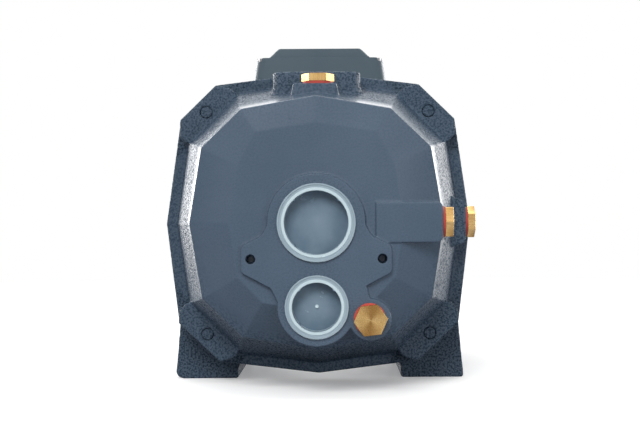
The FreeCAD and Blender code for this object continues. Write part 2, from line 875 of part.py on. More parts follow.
def casing_bolts():
    bolts = []
    for x, h in bolt_spots():
        bolts.append(stand(casing_bolt(), point(x, bracket_flange_y, h), y_axis, bolt_head_spin))
    return bolts


def casing_gasket():
    outline = front_plate(full_outline(flange_outline, flange_corner), flange_back_y, bracket_front_y)
    gasket = outline.cut(disc(spigot_radius + spigot_clearance, flange_back_y, bracket_front_y))
    for x, h in bolt_spots():
        gasket = gasket.cut(disc(bolt_radius + bolt_hole_clearance, flange_back_y, bracket_front_y, x, h))
    return gasket


def leg(side, corner):
    """One leg and foot: a front wall, the foot's pad and a web along each of its edges."""
    floor = -shaft_height
    inner_corner = (foot_inner, floor, leg_inner_corner)
    corners = [(foot_half_span, floor, corner)] + list(leg_outline) + [inner_corner]
    corners = [(side * x, h, radius) for x, h, radius in corners]
    wall = front_plate(corners, foot_front_y, foot_front_y + foot_front_wall)
    foot_top = floor + foot_thickness
    foot = [(foot_half_span, floor, corner), (foot_half_span - foot_taper, foot_top, foot_top_corner)]
    foot += [(foot_inner, foot_top, foot_top_corner), inner_corner]
    foot = [(side * x, h, radius) for x, h, radius in foot]
    pad = front_plate(foot, foot_front_y, foot_front_y + foot_length)
    webs = []
    for near in (foot_inner + web_inner_inset, foot_half_span - web_outer_inset - web_width):
        x_low = near if side > 0 else -near - web_width
        webs.append(leg_web(x_low))
    return wall.fuse([pad] + webs)


def leg_web(x_low):
    """A tapering web from the leg's front wall back along the foot."""
    front = foot_front_y + foot_front_wall - overlap
    back = foot_front_y + foot_length - web_end_gap
    low = foot_thickness - overlap
    high = shaft_height + web_top
    profile = [(front, low), (front, high), (front + web_shoulder, high)]
    profile += [(back, foot_thickness + overlap), (back, low)]
    corners = [FreeCAD.Vector(x_low, y, z) for y, z in profile]
    return Part.Face(Part.makePolygon(corners + corners[:1])).extrude(FreeCAD.Vector(web_width, 0, 0))


def bracket_shell():
    """The turned body of the bracket, from its spigot to the motor's register."""
    ring_front = bracket_back_y - bracket_rear_ring
    edge = bracket_edge
    soft = bracket_fillet
    outer = turned((
        (0.0, spigot_front_y, 0.0), (spigot_radius, spigot_front_y, edge),
        (spigot_radius, bracket_front_y, 0.0),
        (bracket_body_radius, bracket_front_y, 0.0), (bracket_body_radius, bracket_flange_y, soft),
        (bracket_rear_radius, ring_front, soft), (bracket_rear_radius, bracket_back_y, edge),
        (0.0, bracket_back_y, 0.0),
    ))
    front = spigot_front_y + bracket_front_wall
    back = bracket_back_y - bracket_rear_wall
    rear_radius = bracket_rear_radius - bracket_wall
    hollow = turned((
        (0.0, front, 0.0), (spigot_radius - bracket_wall, front, soft),
        (bracket_body_radius - bracket_wall, bracket_flange_y, soft), (rear_radius, ring_front, soft),
        (rear_radius, back, soft), (0.0, back, 0.0),
    ))
    return outer.cut(hollow)


def motor_bracket():
    flange = front_plate(full_outline(flange_outline, flange_corner), bracket_front_y, bracket_flange_y)
    hollow = disc(spigot_radius, bracket_front_y, bracket_flange_y)
    body = bracket_shell().fuse(flange.cut(hollow))
    legs = [leg(-1, foot_corner_left), leg(1, foot_corner_right)]
    inside = disc(bracket_rear_radius, foot_front_y - overlap, foot_front_y + foot_front_wall + web_shoulder)
    legs = [one.cut(inside) for one in legs]
    seal_hub = disc(seal_hub_radius, seal_hub_y, spigot_front_y + bracket_front_wall + overlap)
    bearing_hub = disc(bearing_hub_radius, bracket_back_y - bearing_hub_length, bracket_back_y)
    body = body.fuse(legs + [seal_hub, bearing_hub])

    hub_front = bracket_back_y - bearing_hub_length
    cuts = [disc(seal_hole_radius, seal_hub_y, hub_front)]
    cuts.append(disc(cup_outer, seal_hub_y, seal_hub_y + seat_length))
    cuts.append(disc(front_bearing["outer"], front_bearing_y, bracket_back_y))
    cuts.append(disc(front_bearing["outer"] - bearing_lip, hub_front, bracket_back_y))
    window_front = bracket_flange_y + window_setback
    low = shaft_height - window_height / 2
    for side in (-1, 1):
        near, far = sorted((side * window_inner, side * window_outer))
        cuts.append(block(near, far, window_front, window_front + window_width, low, low + window_height))
    for x, h in bolt_spots():
        cuts.append(disc(bolt_radius + bolt_hole_clearance, bracket_front_y, bracket_flange_y, x, h))
        cuts.append(disc(bolt_pocket_radius, bracket_flange_y, bracket_flange_y + bolt_pocket_length, x, h))
    tie_hole = tie_bolt_radius + bolt_thread_clearance
    for x, h in tie_spots():
        cuts.append(disc(tie_hole, bracket_back_y - tie_engagement, bracket_back_y, x, h))
    for sx in (-1, 1):
        for sy in (-1, 1):
            spot = FreeCAD.Vector(sx * base_spacing_across / 2, sy * base_spacing_along / 2, 0)
            cuts.append(Part.makeCylinder(base_hole_radius, foot_thickness, spot))
            seat = spot.add(FreeCAD.Vector(0, 0, foot_thickness))
            cuts.append(Part.makeCylinder(base_seat_radius, base_seat_height, seat))
    body = body.cut(cuts[0].fuse(cuts[1:]))
    return body.removeSplitter()


def vane(inner, outer, sweep, bend, thickness, front, back):
    """A curved blade between two radii, leaning by sweep degrees, of which a share bend is done half-way."""
    def spot(radius, degrees):
        angle = math.radians(degrees)
        return point(radius * math.cos(angle), front, radius * math.sin(angle))

    def edge(turn):
        middle = (inner + outer) / 2
        lead = [(inner, 0.0), (middle, sweep * bend), (outer, sweep)]
        return [spot(radius, degrees + math.degrees(turn / radius)) for radius, degrees in lead]

    one = edge(-thickness / 2)
    other = edge(thickness / 2)
    edges = [Part.Arc(*one).toShape(), Part.LineSegment(one[2], other[2]).toShape()]
    edges += [Part.Arc(*reversed(other)).toShape(), Part.LineSegment(other[0], one[0]).toShape()]
    return Part.Face(Part.Wire(edges)).extrude(FreeCAD.Vector(0, back - front, 0))


def diffuser():
    """A plate in front of the impeller, its neck in the suction tube and its vanes round the impeller."""
    neck_bore = eye_ring_radius + running_clearance
    body = disc(diffuser_radius, diffuser_plate_y, diffuser_plate_y + diffuser_plate)
    body = body.fuse(disc(neck_bore + neck_wall, tube_end_y - neck_length, diffuser_plate_y))
    inner = impeller_radius + diffuser_vane_gap
    start = diffuser_plate_y + overlap
    bend = diffuser_vane_bend
    blade = vane(inner, diffuser_radius, diffuser_vane_sweep, bend, diffuser_vane_width, start, spigot_front_y)
    body = body.fuse(around_shaft(blade, diffuser_vanes))
    body = body.cut(disc(neck_bore, tube_end_y - neck_length, diffuser_plate_y + diffuser_plate))
    return body.removeSplitter()


def diffuser_seal():
    inner = eye_ring_radius + running_clearance + neck_wall
    front = tube_end_y - neck_length + neck_seal_setback
    return ring(inner + neck_seal_thickness, inner, front, front + neck_seal_length)


def impeller():
    """A closed impeller: two shrouds, curved vanes, an eye ring in front and a keyed hub."""
    body = ring(impeller_radius, eye_radius, impeller_y, vane_y)
    body = body.fuse(ring(eye_ring_radius, eye_radius, tube_end_y - eye_ring_reach, vane_y))
    inner = eye_radius - overlap
    front = impeller_y + overlap
    back = back_shroud_y + overlap
    blade = vane(inner, impeller_radius, impeller_vane_sweep, impeller_vane_bend, vane_thickness, front, back)
    parts = [disc(impeller_radius, back_shroud_y, back_shroud_y + shroud_thickness)]
    parts.append(disc(impeller_hub_radius, hub_front_y, hub_back_y))
    body = body.fuse(parts + around_shaft(blade, impeller_vanes))
    body = body.cut(disc(seal_shaft_radius + fit_clearance, hub_front_y, hub_back_y))
    body = body.cut(key_slot(hub_front_y, hub_back_y, key_clearance))
    return body.removeSplitter()


def key_slot(front, back, clearance):
    """The key's box, half in the shaft and half in the hub."""
    half = key_width / 2 + clearance
    low = shaft_height + seal_shaft_radius - key_height / 2 - clearance
    high = shaft_height + seal_shaft_radius + key_height / 2 + clearance
    return block(-half, half, front, back, low, high)


def impeller_key():
    return key_slot(key_y, key_y + key_length, 0.0)


def impeller_nut():
    nut = stand(chamfered_hexagon(nut_flats, nut_height, nut_chamfer), point(0, hub_front_y, 0), -y_axis)
    return nut.cut(disc(nut_thread_radius + nut_clearance, hub_front_y - nut_height, hub_front_y))


def seal_seat():
    return ring(seat_outer, seat_inner, seat_face_y, seal_hub_y + seat_length - seat_proud)


def seal_seat_cup():
    return ring(cup_outer, seat_outer, seal_hub_y, seal_hub_y + seat_length)


def seal_head():
    """The carbon face and its bellows shell, turning with the shaft."""
    face_front = seat_face_y - seal_face_length
    shell = ring(head_outer, seal_shaft_radius + fit_clearance, head_y, face_front)
    face = ring(seat_outer - seal_face_step, seat_inner, face_front, seat_face_y)
    return shell.fuse(face).removeSplitter()


def seal_spring():
    """A coil between the impeller hub and the seal head."""
    start = hub_back_y + spring_wire_radius
    height = head_y - spring_wire_radius - start
    coil_radius = head_outer - spring_wire_radius - spring_inset
    helix = Part.makeHelix(height / spring_turns, height, coil_radius)
    start_spot = FreeCAD.Vector(coil_radius, 0, 0)
    section = Part.Wire(Part.Circle(start_spot, y_axis, spring_wire_radius).toShape())
    coil = Part.Wire(helix).makePipeShell([section], True, True)
    return stand(coil, point(0, start, 0), y_axis)


def slinger():
    front = bracket_flange_y + slinger_setback
    inner = seal_shaft_radius + fit_clearance
    collar = ring(inner + slinger_collar, inner, front, front + slinger_length)
    return collar.fuse(ring(slinger_radius, inner, front, front + slinger_thickness)).removeSplitter()


def shaft():
    """The stepped shaft, from the impeller's thread back to the fan."""
    nut_front = impeller_y - shaft_front_length
    nut = nut_thread_radius
    front_seat = front_bearing_y - front_seat_extra
    shoulder = front_bearing_back_y
    fan_start = rear_bearing_back_y + rear_seat_extra
    end = fan_back_y + shaft_end_length
    clip_back = fan_back_y + clip_thickness + clip_clearance
    groove = fan_seat_radius - clip_groove
    front_bore = front_bearing["bore"]
    rear_bore = rear_bearing["bore"]
    profile = [(0.0, nut_front), (nut - shaft_chamfer, nut_front), (nut, nut_front + shaft_chamfer)]
    profile += [(nut, hub_front_y), (seal_shaft_radius, hub_front_y)]
    profile += [(seal_shaft_radius, front_seat), (front_bore, front_seat)]
    profile += [(front_bore, shoulder), (front_bore + shaft_step, shoulder)]
    profile += [(rotor_seat_radius, shoulder + rotor_taper_front)]
    profile += [(rotor_seat_radius, rear_bearing_y - rotor_taper_rear)]
    profile += [(rear_bore + shaft_step, rear_bearing_y), (rear_bore, rear_bearing_y), (rear_bore, fan_start)]
    profile += [(fan_seat_radius, fan_start), (fan_seat_radius, fan_back_y)]
    profile += [(groove, fan_back_y), (groove, clip_back)]
    profile += [(fan_seat_radius, clip_back), (fan_seat_radius, end - shaft_chamfer)]
    profile += [(fan_seat_radius - shaft_chamfer, end), (0.0, end)]
    body = turned([(r, y, 0.0) for r, y in profile])
    return body.cut(key_slot(key_y, key_y + key_length, key_clearance))


def ball_orbit(sizes):
    return (sizes["bore"] + sizes["outer"]) / 2


def ball_groove(sizes, front):
    """The track that the balls run in, as a torus."""
    centre = point(0, front + sizes["width"] / 2, 0)
    return Part.makeTorus(ball_orbit(sizes), sizes["ball"] + race_clearance, centre, y_axis)


def outer_race(sizes, front):
    back = front + sizes["width"]
    return ring(sizes["outer"], sizes["outer"] - race_thickness, front, back).cut(ball_groove(sizes, front))


def inner_race(sizes, front):
    back = front + sizes["width"]
    return ring(sizes["bore"] + race_thickness, sizes["bore"], front, back).cut(ball_groove(sizes, front))


def bearing_balls(sizes, front):
    centre = point(ball_orbit(sizes), front + sizes["width"] / 2, 0)
    return around_shaft(Part.makeSphere(sizes["ball"], centre), sizes["count"])


def bearing_cage(sizes, front):
    """A thin ring with a pocket round each ball."""
    middle = front + sizes["width"] / 2
    half = sizes["ball"] + cage_margin
    orbit = ball_orbit(sizes)
    cage = ring(orbit + cage_thickness / 2, orbit - cage_thickness / 2, middle - half, middle + half)
    start = point(orbit - sizes["ball"], middle, 0)
    pocket = Part.makeCylinder(sizes["ball"] + race_clearance, 2 * sizes["ball"], start, x_axis)
    pockets = around_shaft(pocket, sizes["count"])
    return cage.cut(pockets[0].fuse(pockets[1:]))


def preload_washer():
    rim, bore = [rear_bearing["outer"] - margin for margin in preload_margins]
    return ring(rim, bore, rear_bearing_back_y, preload_back_y)


def rotor_core():
    return ring(rotor_radius, rotor_seat_radius, stack_y, stack_back_y)


def rotor_end_ring(front, back, outward):
    """One short-circuit ring with its cooling blades."""
    body = ring(end_ring_outer, end_ring_inner, front, back)
    near, far = (back - overlap, back + ring_blade_length)
    if outward < 0:
        near, far = (front - ring_blade_length, front + overlap)
    inner_margin, outer_margin = ring_blade_margins
    low = shaft_height - ring_blade_width / 2
    high = shaft_height + ring_blade_width / 2
    blade = block(end_ring_inner + inner_margin, end_ring_outer - outer_margin, near, far, low, high)
    return body.fuse(around_shaft(blade, ring_blades))


def rotor_end_rings():
    return [
        rotor_end_ring(stack_y - end_ring_length, stack_y, -1),
        rotor_end_ring(stack_back_y, stack_back_y + end_ring_length, 1),
    ]


def stator_core():
    body = ring(frame_bore - stator_radius_clearance, stator_bore, stack_y, stack_back_y)
    low = shaft_height - slot_width / 2
    inner = stator_bore + slot_floor
    slot = block(inner, inner + slot_depth, stack_y, stack_back_y, low, low + slot_width)
    slots = around_shaft(slot, slot_count)
    return body.cut(slots[0].fuse(slots[1:]))


def stator_windings():
    """The coil sides in the slots and the two bundles of end turns."""
    half = slot_width / 2 - winding_clearance
    low = stator_bore + slot_floor + winding_clearance
    high = stator_bore + slot_floor + slot_depth - winding_clearance
    z = shaft_height
    front = stack_y - end_turn_gap - overlap
    back = stack_back_y + end_turn_gap + overlap
    shapes = around_shaft(block(low, high, front, back, z - half, z + half), slot_count)
    bundles = ((stack_y - end_turn_gap, -end_turn_length), (stack_back_y + end_turn_gap, end_turn_length))
    for near, reach in bundles:
        far = near + reach
        spots = [(low, far), (end_turn_outer, far), (end_turn_outer, near), (low, near)]
        shapes.append(turned([(r, y, radius) for (r, y), radius in zip(spots, end_turn_corners)]))
    return shapes[0].fuse(shapes[1:])


def motor_frame():
    """The finned tube round the stator, with a flat pad for the terminal box."""
    body = disc(frame_radius, bracket_back_y, frame_back_y)
    for x, h in tie_spots():
        body = body.fuse(disc(tie_boss_radius, bracket_back_y, frame_back_y, x, h))
    collars = [disc(fin_radius, bracket_back_y, bracket_back_y + frame_collar)]
    collars.append(disc(fin_radius, frame_back_y - frame_collar, frame_back_y))
    pad_bottom = shaft_height + frame_radius - box_pad_drop
    pad_half_width = box_half_width - box_pad_inset
    pad_half_length = box_half_length - box_pad_margin
    pad = level_block(pad_half_width, pad_half_length, box_pad_corner, box_y, pad_bottom, box_bottom)
    body = body.fuse(frame_fins() + collars + [pad])
    cuts = [disc(frame_bore, bracket_back_y, frame_back_y)]
    for x, h in tie_spots():
        cuts.append(disc(tie_bolt_radius + bolt_hole_clearance, bracket_back_y, frame_back_y, x, h))
    cuts.append(Part.makeCylinder(lead_hole_radius, pad_top, FreeCAD.Vector(0, box_y, shaft_height)))
    box_front = box_y - base_half_length - box_pad_margin
    cuts.append(block(-box_half_width, box_half_width, box_front, frame_back_y, box_bottom, box_rim))
    return body.cut(cuts[0].fuse(cuts[1:])).removeSplitter()


def frame_fins():
    """The cooling fins: none under the terminal box, nor beside the tie bolts."""
    half = fin_thickness / 2
    front = bracket_back_y + fin_end_gap
    back = frame_back_y - fin_end_gap
    one = block(frame_radius - overlap, fin_radius, front, back, shaft_height - half, shaft_height + half)
    fins = []
    for i in range(int(360 / fin_step)):
        angle = i * fin_step
        from_top = min(abs(angle - 270), 360 - abs(angle - 270))
        near_tie = min(abs((angle % 90) - 45), 45) < fin_step * 0.75
        if from_top >= fin_clear_top and not near_tie:
            fins.append(turn_about_shaft(one, angle))
    return fins


def rear_endshield():
    """The motor's rear cover plate, with the rear bearing's housing."""
    body = disc(endshield_radius, frame_back_y, endshield_back_y)
    spigot_front = frame_back_y - endshield_spigot
    spigot = ring(frame_bore - spigot_fit, frame_bore - spigot_wall, spigot_front, frame_back_y + overlap)
    hub = disc(rear_hub_radius, frame_back_y - rear_hub_length, endshield_back_y)
    pocket_front = frame_back_y - rear_hub_length
    hole = rear_bearing["bore"] + shaft_hole_clearance
    body = body.fuse([spigot, hub])
    cuts = [disc(rear_bearing["outer"], pocket_front, preload_back_y)]
    cuts.append(disc(hole, pocket_front, endshield_back_y))
    for x, h in tie_spots():
        cuts.append(disc(tie_bolt_radius + bolt_hole_clearance, frame_back_y, endshield_back_y, x, h))
        cuts.append(disc(tie_flats, tie_seat_y, endshield_back_y, x, h))
    start = FreeCAD.Vector(0, 0, -cover_screw_length)
    screw_hole = Part.makeCylinder(cover_screw_radius + thread_clearance, cover_screw_length, start)
    for spot, outward in cover_screw_spots():
        cuts.append(stand(screw_hole, spot, outward))
    return body.cut(cuts[0].fuse(cuts[1:])).removeSplitter()


def cover_screw_spots():
    """Where the fan cover's screws sit, on its outside, and which way they point out."""
    spots = []
    middle = frame_back_y + endshield_thickness / 2
    for i in range(4):
        angle = math.radians(90 * i)
        outward = FreeCAD.Vector(math.cos(angle), 0, math.sin(angle))
        spots.append((point(0, middle, 0).add(outward * cover_radius), outward))
    return spots


def tie_bolts():
    length = tie_seat_y - (bracket_back_y - tie_engagement + tie_end_gap)
    shank = Part.makeCylinder(tie_bolt_radius, length, FreeCAD.Vector(0, 0, -length))
    one = chamfered_hexagon(tie_flats, tie_head_height, tie_head_chamfer).fuse(shank)
    return [stand(one, point(x, tie_seat_y, h), y_axis) for x, h in tie_spots()]


def cooling_fan():
    """A radial fan: a hub, a disc and straight blades that work in either direction."""
    z = shaft_height
    blade_front = fan_y + fan_disc_thickness - overlap
    body = disc(fan_back_disc, fan_y, fan_y + fan_disc_thickness)
    body = body.fuse(disc(fan_hub_radius, fan_y, fan_back_y))
    half = fan_blade_thickness / 2
    blade_start = fan_hub_radius + fan_blade_start
    blade = block(blade_start, fan_blade_radius, blade_front, fan_back_y, z - half, z + half)
    body = body.fuse(around_shaft(blade, fan_blades))
    return body.cut(disc(fan_seat_radius + fit_clearance, fan_y, fan_back_y)).removeSplitter()


def fan_clip():
    inner = fan_seat_radius - clip_groove + fit_clearance
    back = fan_back_y + clip_thickness
    outer = fan_seat_radius + clip_rim
    clip = ring(outer, inner, fan_back_y, back)
    half = clip_opening / 2
    return clip.cut(block(-half, half, fan_back_y, back, shaft_height, shaft_height + outer))


def fan_cover():
    """A pressed sheet cover with slotted rings for the air."""
    edge = frame_back_y + cover_gap
    inner = cover_radius - cover_sheet
    floor = cover_back_y - cover_sheet
    outside = turned((
        (0.0, edge, 0.0), (cover_radius, edge, 0.0),
        (cover_radius, cover_back_y, cover_corner), (0.0, cover_back_y, 0.0),
    ))
    inside = turned((
        (0.0, edge, 0.0), (inner, edge, 0.0), (inner, floor, cover_corner - cover_sheet), (0.0, floor, 0.0),
    ))
    body = outside.cut(inside)
    front = floor - overlap
    back = cover_back_y + overlap
    slots = []
    for i in range(grille_rings):
        low = grille_first + i * grille_pitch
        slots.append(ring(low + grille_slot, low, front, back))
    slots = slots[0].fuse(slots[1:])
    z = shaft_height
    bar = block(-cover_radius, cover_radius, front, back, z - grille_bar / 2, z + grille_bar / 2)
    for degrees in grille_bar_angles:
        slots = slots.cut(turn_about_shaft(bar, degrees))
    body = body.cut(slots)
    start = FreeCAD.Vector(0, 0, -cover_hole_depth)
    hole = Part.makeCylinder(cover_screw_radius + cover_hole_clearance, cover_hole_depth + overlap, start)
    for spot, outward in cover_screw_spots():
        body = body.cut(stand(hole, spot, outward))
    return body


def fan_cover_screws():
    length = cover_screw_length - cover_screw_end_gap
    one = screw(cover_screw_radius, length, cover_screw_head, cover_screw_head_height)
    return [stand(one, spot, outward) for spot, outward in cover_screw_spots()]


def box_screw_spots():
    return [(sx * box_screw_x, box_y + sy * box_screw_y) for sx in (-1, 1) for sy in (-1, 1)]


def terminal_box_base():
    body = level_block(base_half_width, base_half_length, box_corner, box_y, box_bottom, box_rim)
    body = body.cut(base_inside(box_bottom + box_floor, box_rim))
    posts = []
    for x, y in box_screw_spots():
        posts.append(Part.makeCylinder(box_post_radius, box_base_height, FreeCAD.Vector(x, y, box_bottom)))
    body = body.fuse(posts)
    for x, y in box_screw_spots():
        hole = FreeCAD.Vector(x, y, box_rim - box_screw_grip)
        body = body.cut(Part.makeCylinder(box_screw_radius + thread_clearance, box_screw_grip, hole))
    body = body.cut(Part.makeCylinder(lead_hole_radius, box_floor, FreeCAD.Vector(0, box_y, box_bottom)))
    gland_hole = FreeCAD.Vector(base_half_width - box_wall - overlap, gland_y, gland_z)
    hole_radius = gland_thread_radius + gland_thread_clearance
    body = body.cut(Part.makeCylinder(hole_radius, box_wall + 2 * overlap, gland_hole, x_axis))
    earth = FreeCAD.Vector(earth_x, box_y - earth_forward, box_bottom)
    body = body.cut(Part.makeCylinder(earth_radius + thread_clearance, box_floor, earth))
    return body.removeSplitter()


def base_inside(bottom, top):
    half_width = base_half_width - box_wall
    half_length = base_half_length - box_wall
    return level_block(half_width, half_length, box_corner - box_wall, box_y, bottom, top)


def terminal_box_gasket():
    gasket = level_block(base_half_width, base_half_length, box_corner, box_y, box_rim, cover_bottom)
    gasket = gasket.cut(base_inside(box_rim, cover_bottom))
    return gasket.cut(box_post_holes(box_rim, cover_bottom, box_screw_radius + hole_clearance))


def box_post_holes(bottom, top, radius):
    spots = [FreeCAD.Vector(x, y, bottom) for x, y in box_screw_spots()]
    holes = [Part.makeCylinder(radius, top - bottom, spot) for spot in spots]
    return holes[0].fuse(holes[1:])


def cover_wire(across, along, corner, z):
    """A level section of the lid, this far inside its lower edge each way."""
    return level_wire(box_half_width - across, box_half_length - along, corner, box_y, z)


def terminal_box_cover():
    """A deep lid with drafted sides and a raised, flat-topped middle."""
    shoulder_corner = box_corner - cover_corner_loss
    outer = loft(
        cover_wire(0.0, 0.0, box_corner, cover_bottom),
        cover_wire(cover_draft, cover_draft, shoulder_corner, cover_shoulder),
    )
    steps = [(across, along, corner, cover_shoulder + rise) for across, along, rise, corner in cover_crown]
    crown = loft(*[cover_wire(*step) for step in steps])
    low = box_wall + cover_inside_gap
    high = cover_draft + box_wall
    inside = loft(
        cover_wire(low, low, box_corner - box_wall, cover_bottom),
        cover_wire(high, high, shoulder_corner - box_wall, cover_shoulder - box_wall),
    )
    whole = outer.fuse(crown)
    body = whole.cut(inside)
    height = cover_shoulder - cover_bottom
    for x, y in box_screw_spots():
        post = Part.makeCylinder(box_post_radius, height, FreeCAD.Vector(x, y, cover_bottom))
        body = body.fuse(post.common(whole))
    top = cover_shoulder + cover_crown[-1][2]
    body = body.cut(box_post_holes(cover_bottom, top, box_screw_radius + hole_clearance))
    head_seat = cover_shoulder - box_screw_head_depth
    return body.cut(box_post_holes(head_seat, top, box_screw_head_radius + hole_clearance)).removeSplitter()


def terminal_cover_screws():
    seat = cover_shoulder - box_screw_head_depth
    length = seat - (box_rim - box_screw_grip + box_screw_end_gap)
    top = box_screw_head_length
    one = screw(box_screw_radius, length, box_screw_head_radius, top)
    width, reach, depth = box_screw_slot
    one = one.cut(block(-width / 2, width / 2, -reach, reach, top - depth, top))
    one = one.cut(block(-reach, reach, -width / 2, width / 2, top - depth, top))
    return [stand(one, FreeCAD.Vector(x, y, seat), z_axis) for x, y in box_screw_spots()]


def capacitor_centre_z():
    return box_bottom + box_floor + capacitor_lift + clip_strap + capacitor_radius


def capacitor():
    height = capacitor_centre_z() - shaft_height
    front = box_y - capacitor_length / 2
    back = box_y + capacitor_length / 2
    radius = capacitor_radius
    corner = capacitor_corner
    profile = ((0.0, front, 0.0), (radius, front, corner), (radius, back, corner), (0.0, back, 0.0))
    can = turned(profile, capacitor_x, height)
    for side in (-1, 1):
        across = capacitor_x + side * capacitor_tag_offset
        tip = back + capacitor_tag_length
        can = can.fuse(disc(capacitor_tag_radius, back - overlap, tip, across, height))
    return can


def capacitor_clip():
    """A strap round the capacitor, screwed to the floor of the box."""
    height = capacitor_centre_z() - shaft_height
    front = box_y - clip_width / 2
    back = box_y + clip_width / 2
    strap = ring(capacitor_radius + clip_strap, capacitor_radius, front, back, capacitor_x, height)
    low = box_bottom + box_floor
    foot = block(capacitor_x, capacitor_x + clip_foot, front, back, low, low + clip_strap + capacitor_lift)
    foot = foot.cut(disc(capacitor_radius, front, back, capacitor_x, height))
    return strap.fuse(foot)


def terminal_board():
    low = box_bottom + box_floor
    bottom = low + board_standoff
    top = bottom + board_thickness
    board = level_block(board_width / 2, board_length / 2, board_corner, box_y, bottom, top)
    for side in (-1, 1):
        spot = FreeCAD.Vector(0, box_y + side * (board_length / 2 - standoff_inset), low)
        board = board.fuse(Part.makeCylinder(standoff_radius, board_standoff, spot))
    board.translate(FreeCAD.Vector(board_x, 0, 0))
    return board.cut(stud_holes())


def stud_spots():
    top = box_bottom + box_floor + board_standoff + board_thickness
    spots = []
    for sx in (-1, 1):
        for sy in (-1, 0, 1):
            spots.append(FreeCAD.Vector(board_x + sx * stud_pitch / 2, box_y + sy * stud_pitch, top))
    return spots


def stud_holes():
    holes = []
    for spot in stud_spots():
        low = spot.sub(FreeCAD.Vector(0, 0, board_thickness - stud_floor))
        holes.append(Part.makeCylinder(stud_radius + fit_clearance, board_thickness, low))
    return holes[0].fuse(holes[1:])


def terminal_studs():
    studs = []
    for spot in stud_spots():
        sunk = board_thickness - stud_floor
        stud = Part.makeCylinder(stud_radius, sunk + stud_height, spot.sub(FreeCAD.Vector(0, 0, sunk)))
        nut = stand(chamfered_hexagon(stud_nut_flats, stud_nut_height, stud_nut_chamfer), spot, z_axis)
        studs.append(stud.fuse(nut))
    return studs


def earth_screw():
    spot = FreeCAD.Vector(earth_x, box_y - earth_forward, box_bottom + box_floor)
    return stand(screw(earth_radius, box_floor, earth_head, earth_head_height), spot, z_axis)


def gland_stations():
    """Along X: the thread's inner end, the box wall, the hexagon's back, the nut's back and its mouth."""
    inner = base_half_width - box_wall - gland_inner_length
    hex_back = base_half_width + gland_hex_length
    nut_back = hex_back + gland_nut_gap
    return inner, base_half_width, hex_back, nut_back, nut_back + gland_nut_length


def cable_gland():
    inner, wall, hex_back, _, _ = gland_stations()
    start = FreeCAD.Vector(inner, gland_y, gland_z)
    body = Part.makeCylinder(gland_thread_radius, wall - inner, start, x_axis)
    seat = FreeCAD.Vector(wall, gland_y, gland_z)
    body = body.fuse(stand(hexagon(gland_flats, gland_hex_length), seat, x_axis))
    neck = FreeCAD.Vector(hex_back, gland_y, gland_z)
    body = body.fuse(Part.makeCylinder(gland_neck_radius, gland_neck_length, neck, x_axis))
    length = hex_back + gland_neck_length - inner
    bore = gland_bore_radius + gland_bore_clearance
    return body.cut(Part.makeCylinder(bore, length, start, x_axis)).removeSplitter()


def gland_nut():
    _, _, _, back, mouth = gland_stations()
    spot = FreeCAD.Vector(back, gland_y, gland_z)
    straight = gland_nut_length - gland_nut_face
    radius = gland_nut_radius
    body = Part.makeCylinder(radius, straight, spot, x_axis)
    cone_start = FreeCAD.Vector(mouth - gland_nut_face, gland_y, gland_z)
    body = body.fuse(Part.makeCone(radius, radius - gland_nut_taper, gland_nut_face, cone_start, x_axis))
    for i in range(gland_flutes):
        angle = math.radians(360.0 * i / gland_flutes)
        rim = FreeCAD.Vector(back, gland_y + radius * math.cos(angle), gland_z + radius * math.sin(angle))
        body = body.cut(Part.makeCylinder(gland_flute_radius, gland_nut_length, rim, x_axis))
    body = body.cut(Part.makeCylinder(gland_neck_radius + gland_neck_clearance, straight, spot, x_axis))
    return body.cut(Part.makeCylinder(gland_bore_radius, gland_nut_length, spot, x_axis)).removeSplitter()


def gland_seal():
    _, _, hex_back, _, mouth = gland_stations()
    start = FreeCAD.Vector(hex_back + gland_neck_length, gland_y, gland_z)
    length = mouth - gland_nut_face - start.x
    body = Part.makeCylinder(gland_neck_radius, length, start, x_axis)
    return body.cut(Part.makeCylinder(gland_bore_radius, length, start, x_axis))


def plugs_and_washers():
    """Each plug and its washer, by name: where it seats and which way it comes out."""
    seats = {
        "priming": (priming_seat(), z_axis, 0.0, 0.0),
        "vacuum_gauge": (vacuum_seat_point(), x_axis, vacuum_plug_spin, 0.0),
        "pressure_gauge": (pressure_seat_point(), x_axis, 0.0, 0.0),
        "drain": (drain_seat(), -y_axis, drain_plug_spin, drain_washer_shift),
    }
    shapes = {}
    for name, (seat, outward, spin, shift) in seats.items():
        shapes[name + "_plug"] = stand(plug(), seat, outward, spin)
        washer = stand(plug_washer(), seat, outward)
        washer.translate(FreeCAD.Vector(-shift, 0, shift))
        shapes[name + "_washer"] = washer
    return shapes


def bearing_nodes():
    shapes = {}
    for name, sizes, front in (
        ("front_bearing", front_bearing, front_bearing_y),
        ("rear_bearing", rear_bearing, rear_bearing_y),
    ):
        shapes[name + "_outer_ring"] = outer_race(sizes, front)
        shapes[name + "_inner_ring"] = inner_race(sizes, front)
        shapes[name + "_balls"] = bearing_balls(sizes, front)
        shapes[name + "_cage"] = bearing_cage(sizes, front)
    return shapes


def all_nodes():
    makers = (
        pump_casing, casing_gasket, casing_bolts, motor_bracket, diffuser, diffuser_seal, impeller, impeller_key,
        impeller_nut, seal_seat, seal_seat_cup, seal_head, seal_spring, slinger, shaft, preload_washer,
        rotor_core, rotor_end_rings, stator_core, stator_windings, motor_frame, rear_endshield, tie_bolts,
        cooling_fan, fan_clip, fan_cover, fan_cover_screws, terminal_box_base, terminal_box_gasket,
        terminal_box_cover, terminal_cover_screws, capacitor, capacitor_clip, terminal_board, terminal_studs,
        earth_screw, cable_gland, gland_nut, gland_seal,
    )
    nodes = {maker.__name__: maker() for maker in makers}
    nodes.update(plugs_and_washers())
    nodes.update(bearing_nodes())
    nodes["suction_cap"] = port_cap(suction_bore_radius, 0.0, False)
    nodes["drive_cap"] = port_cap(drive_bore_radius, -port_spacing, True)
    return nodes


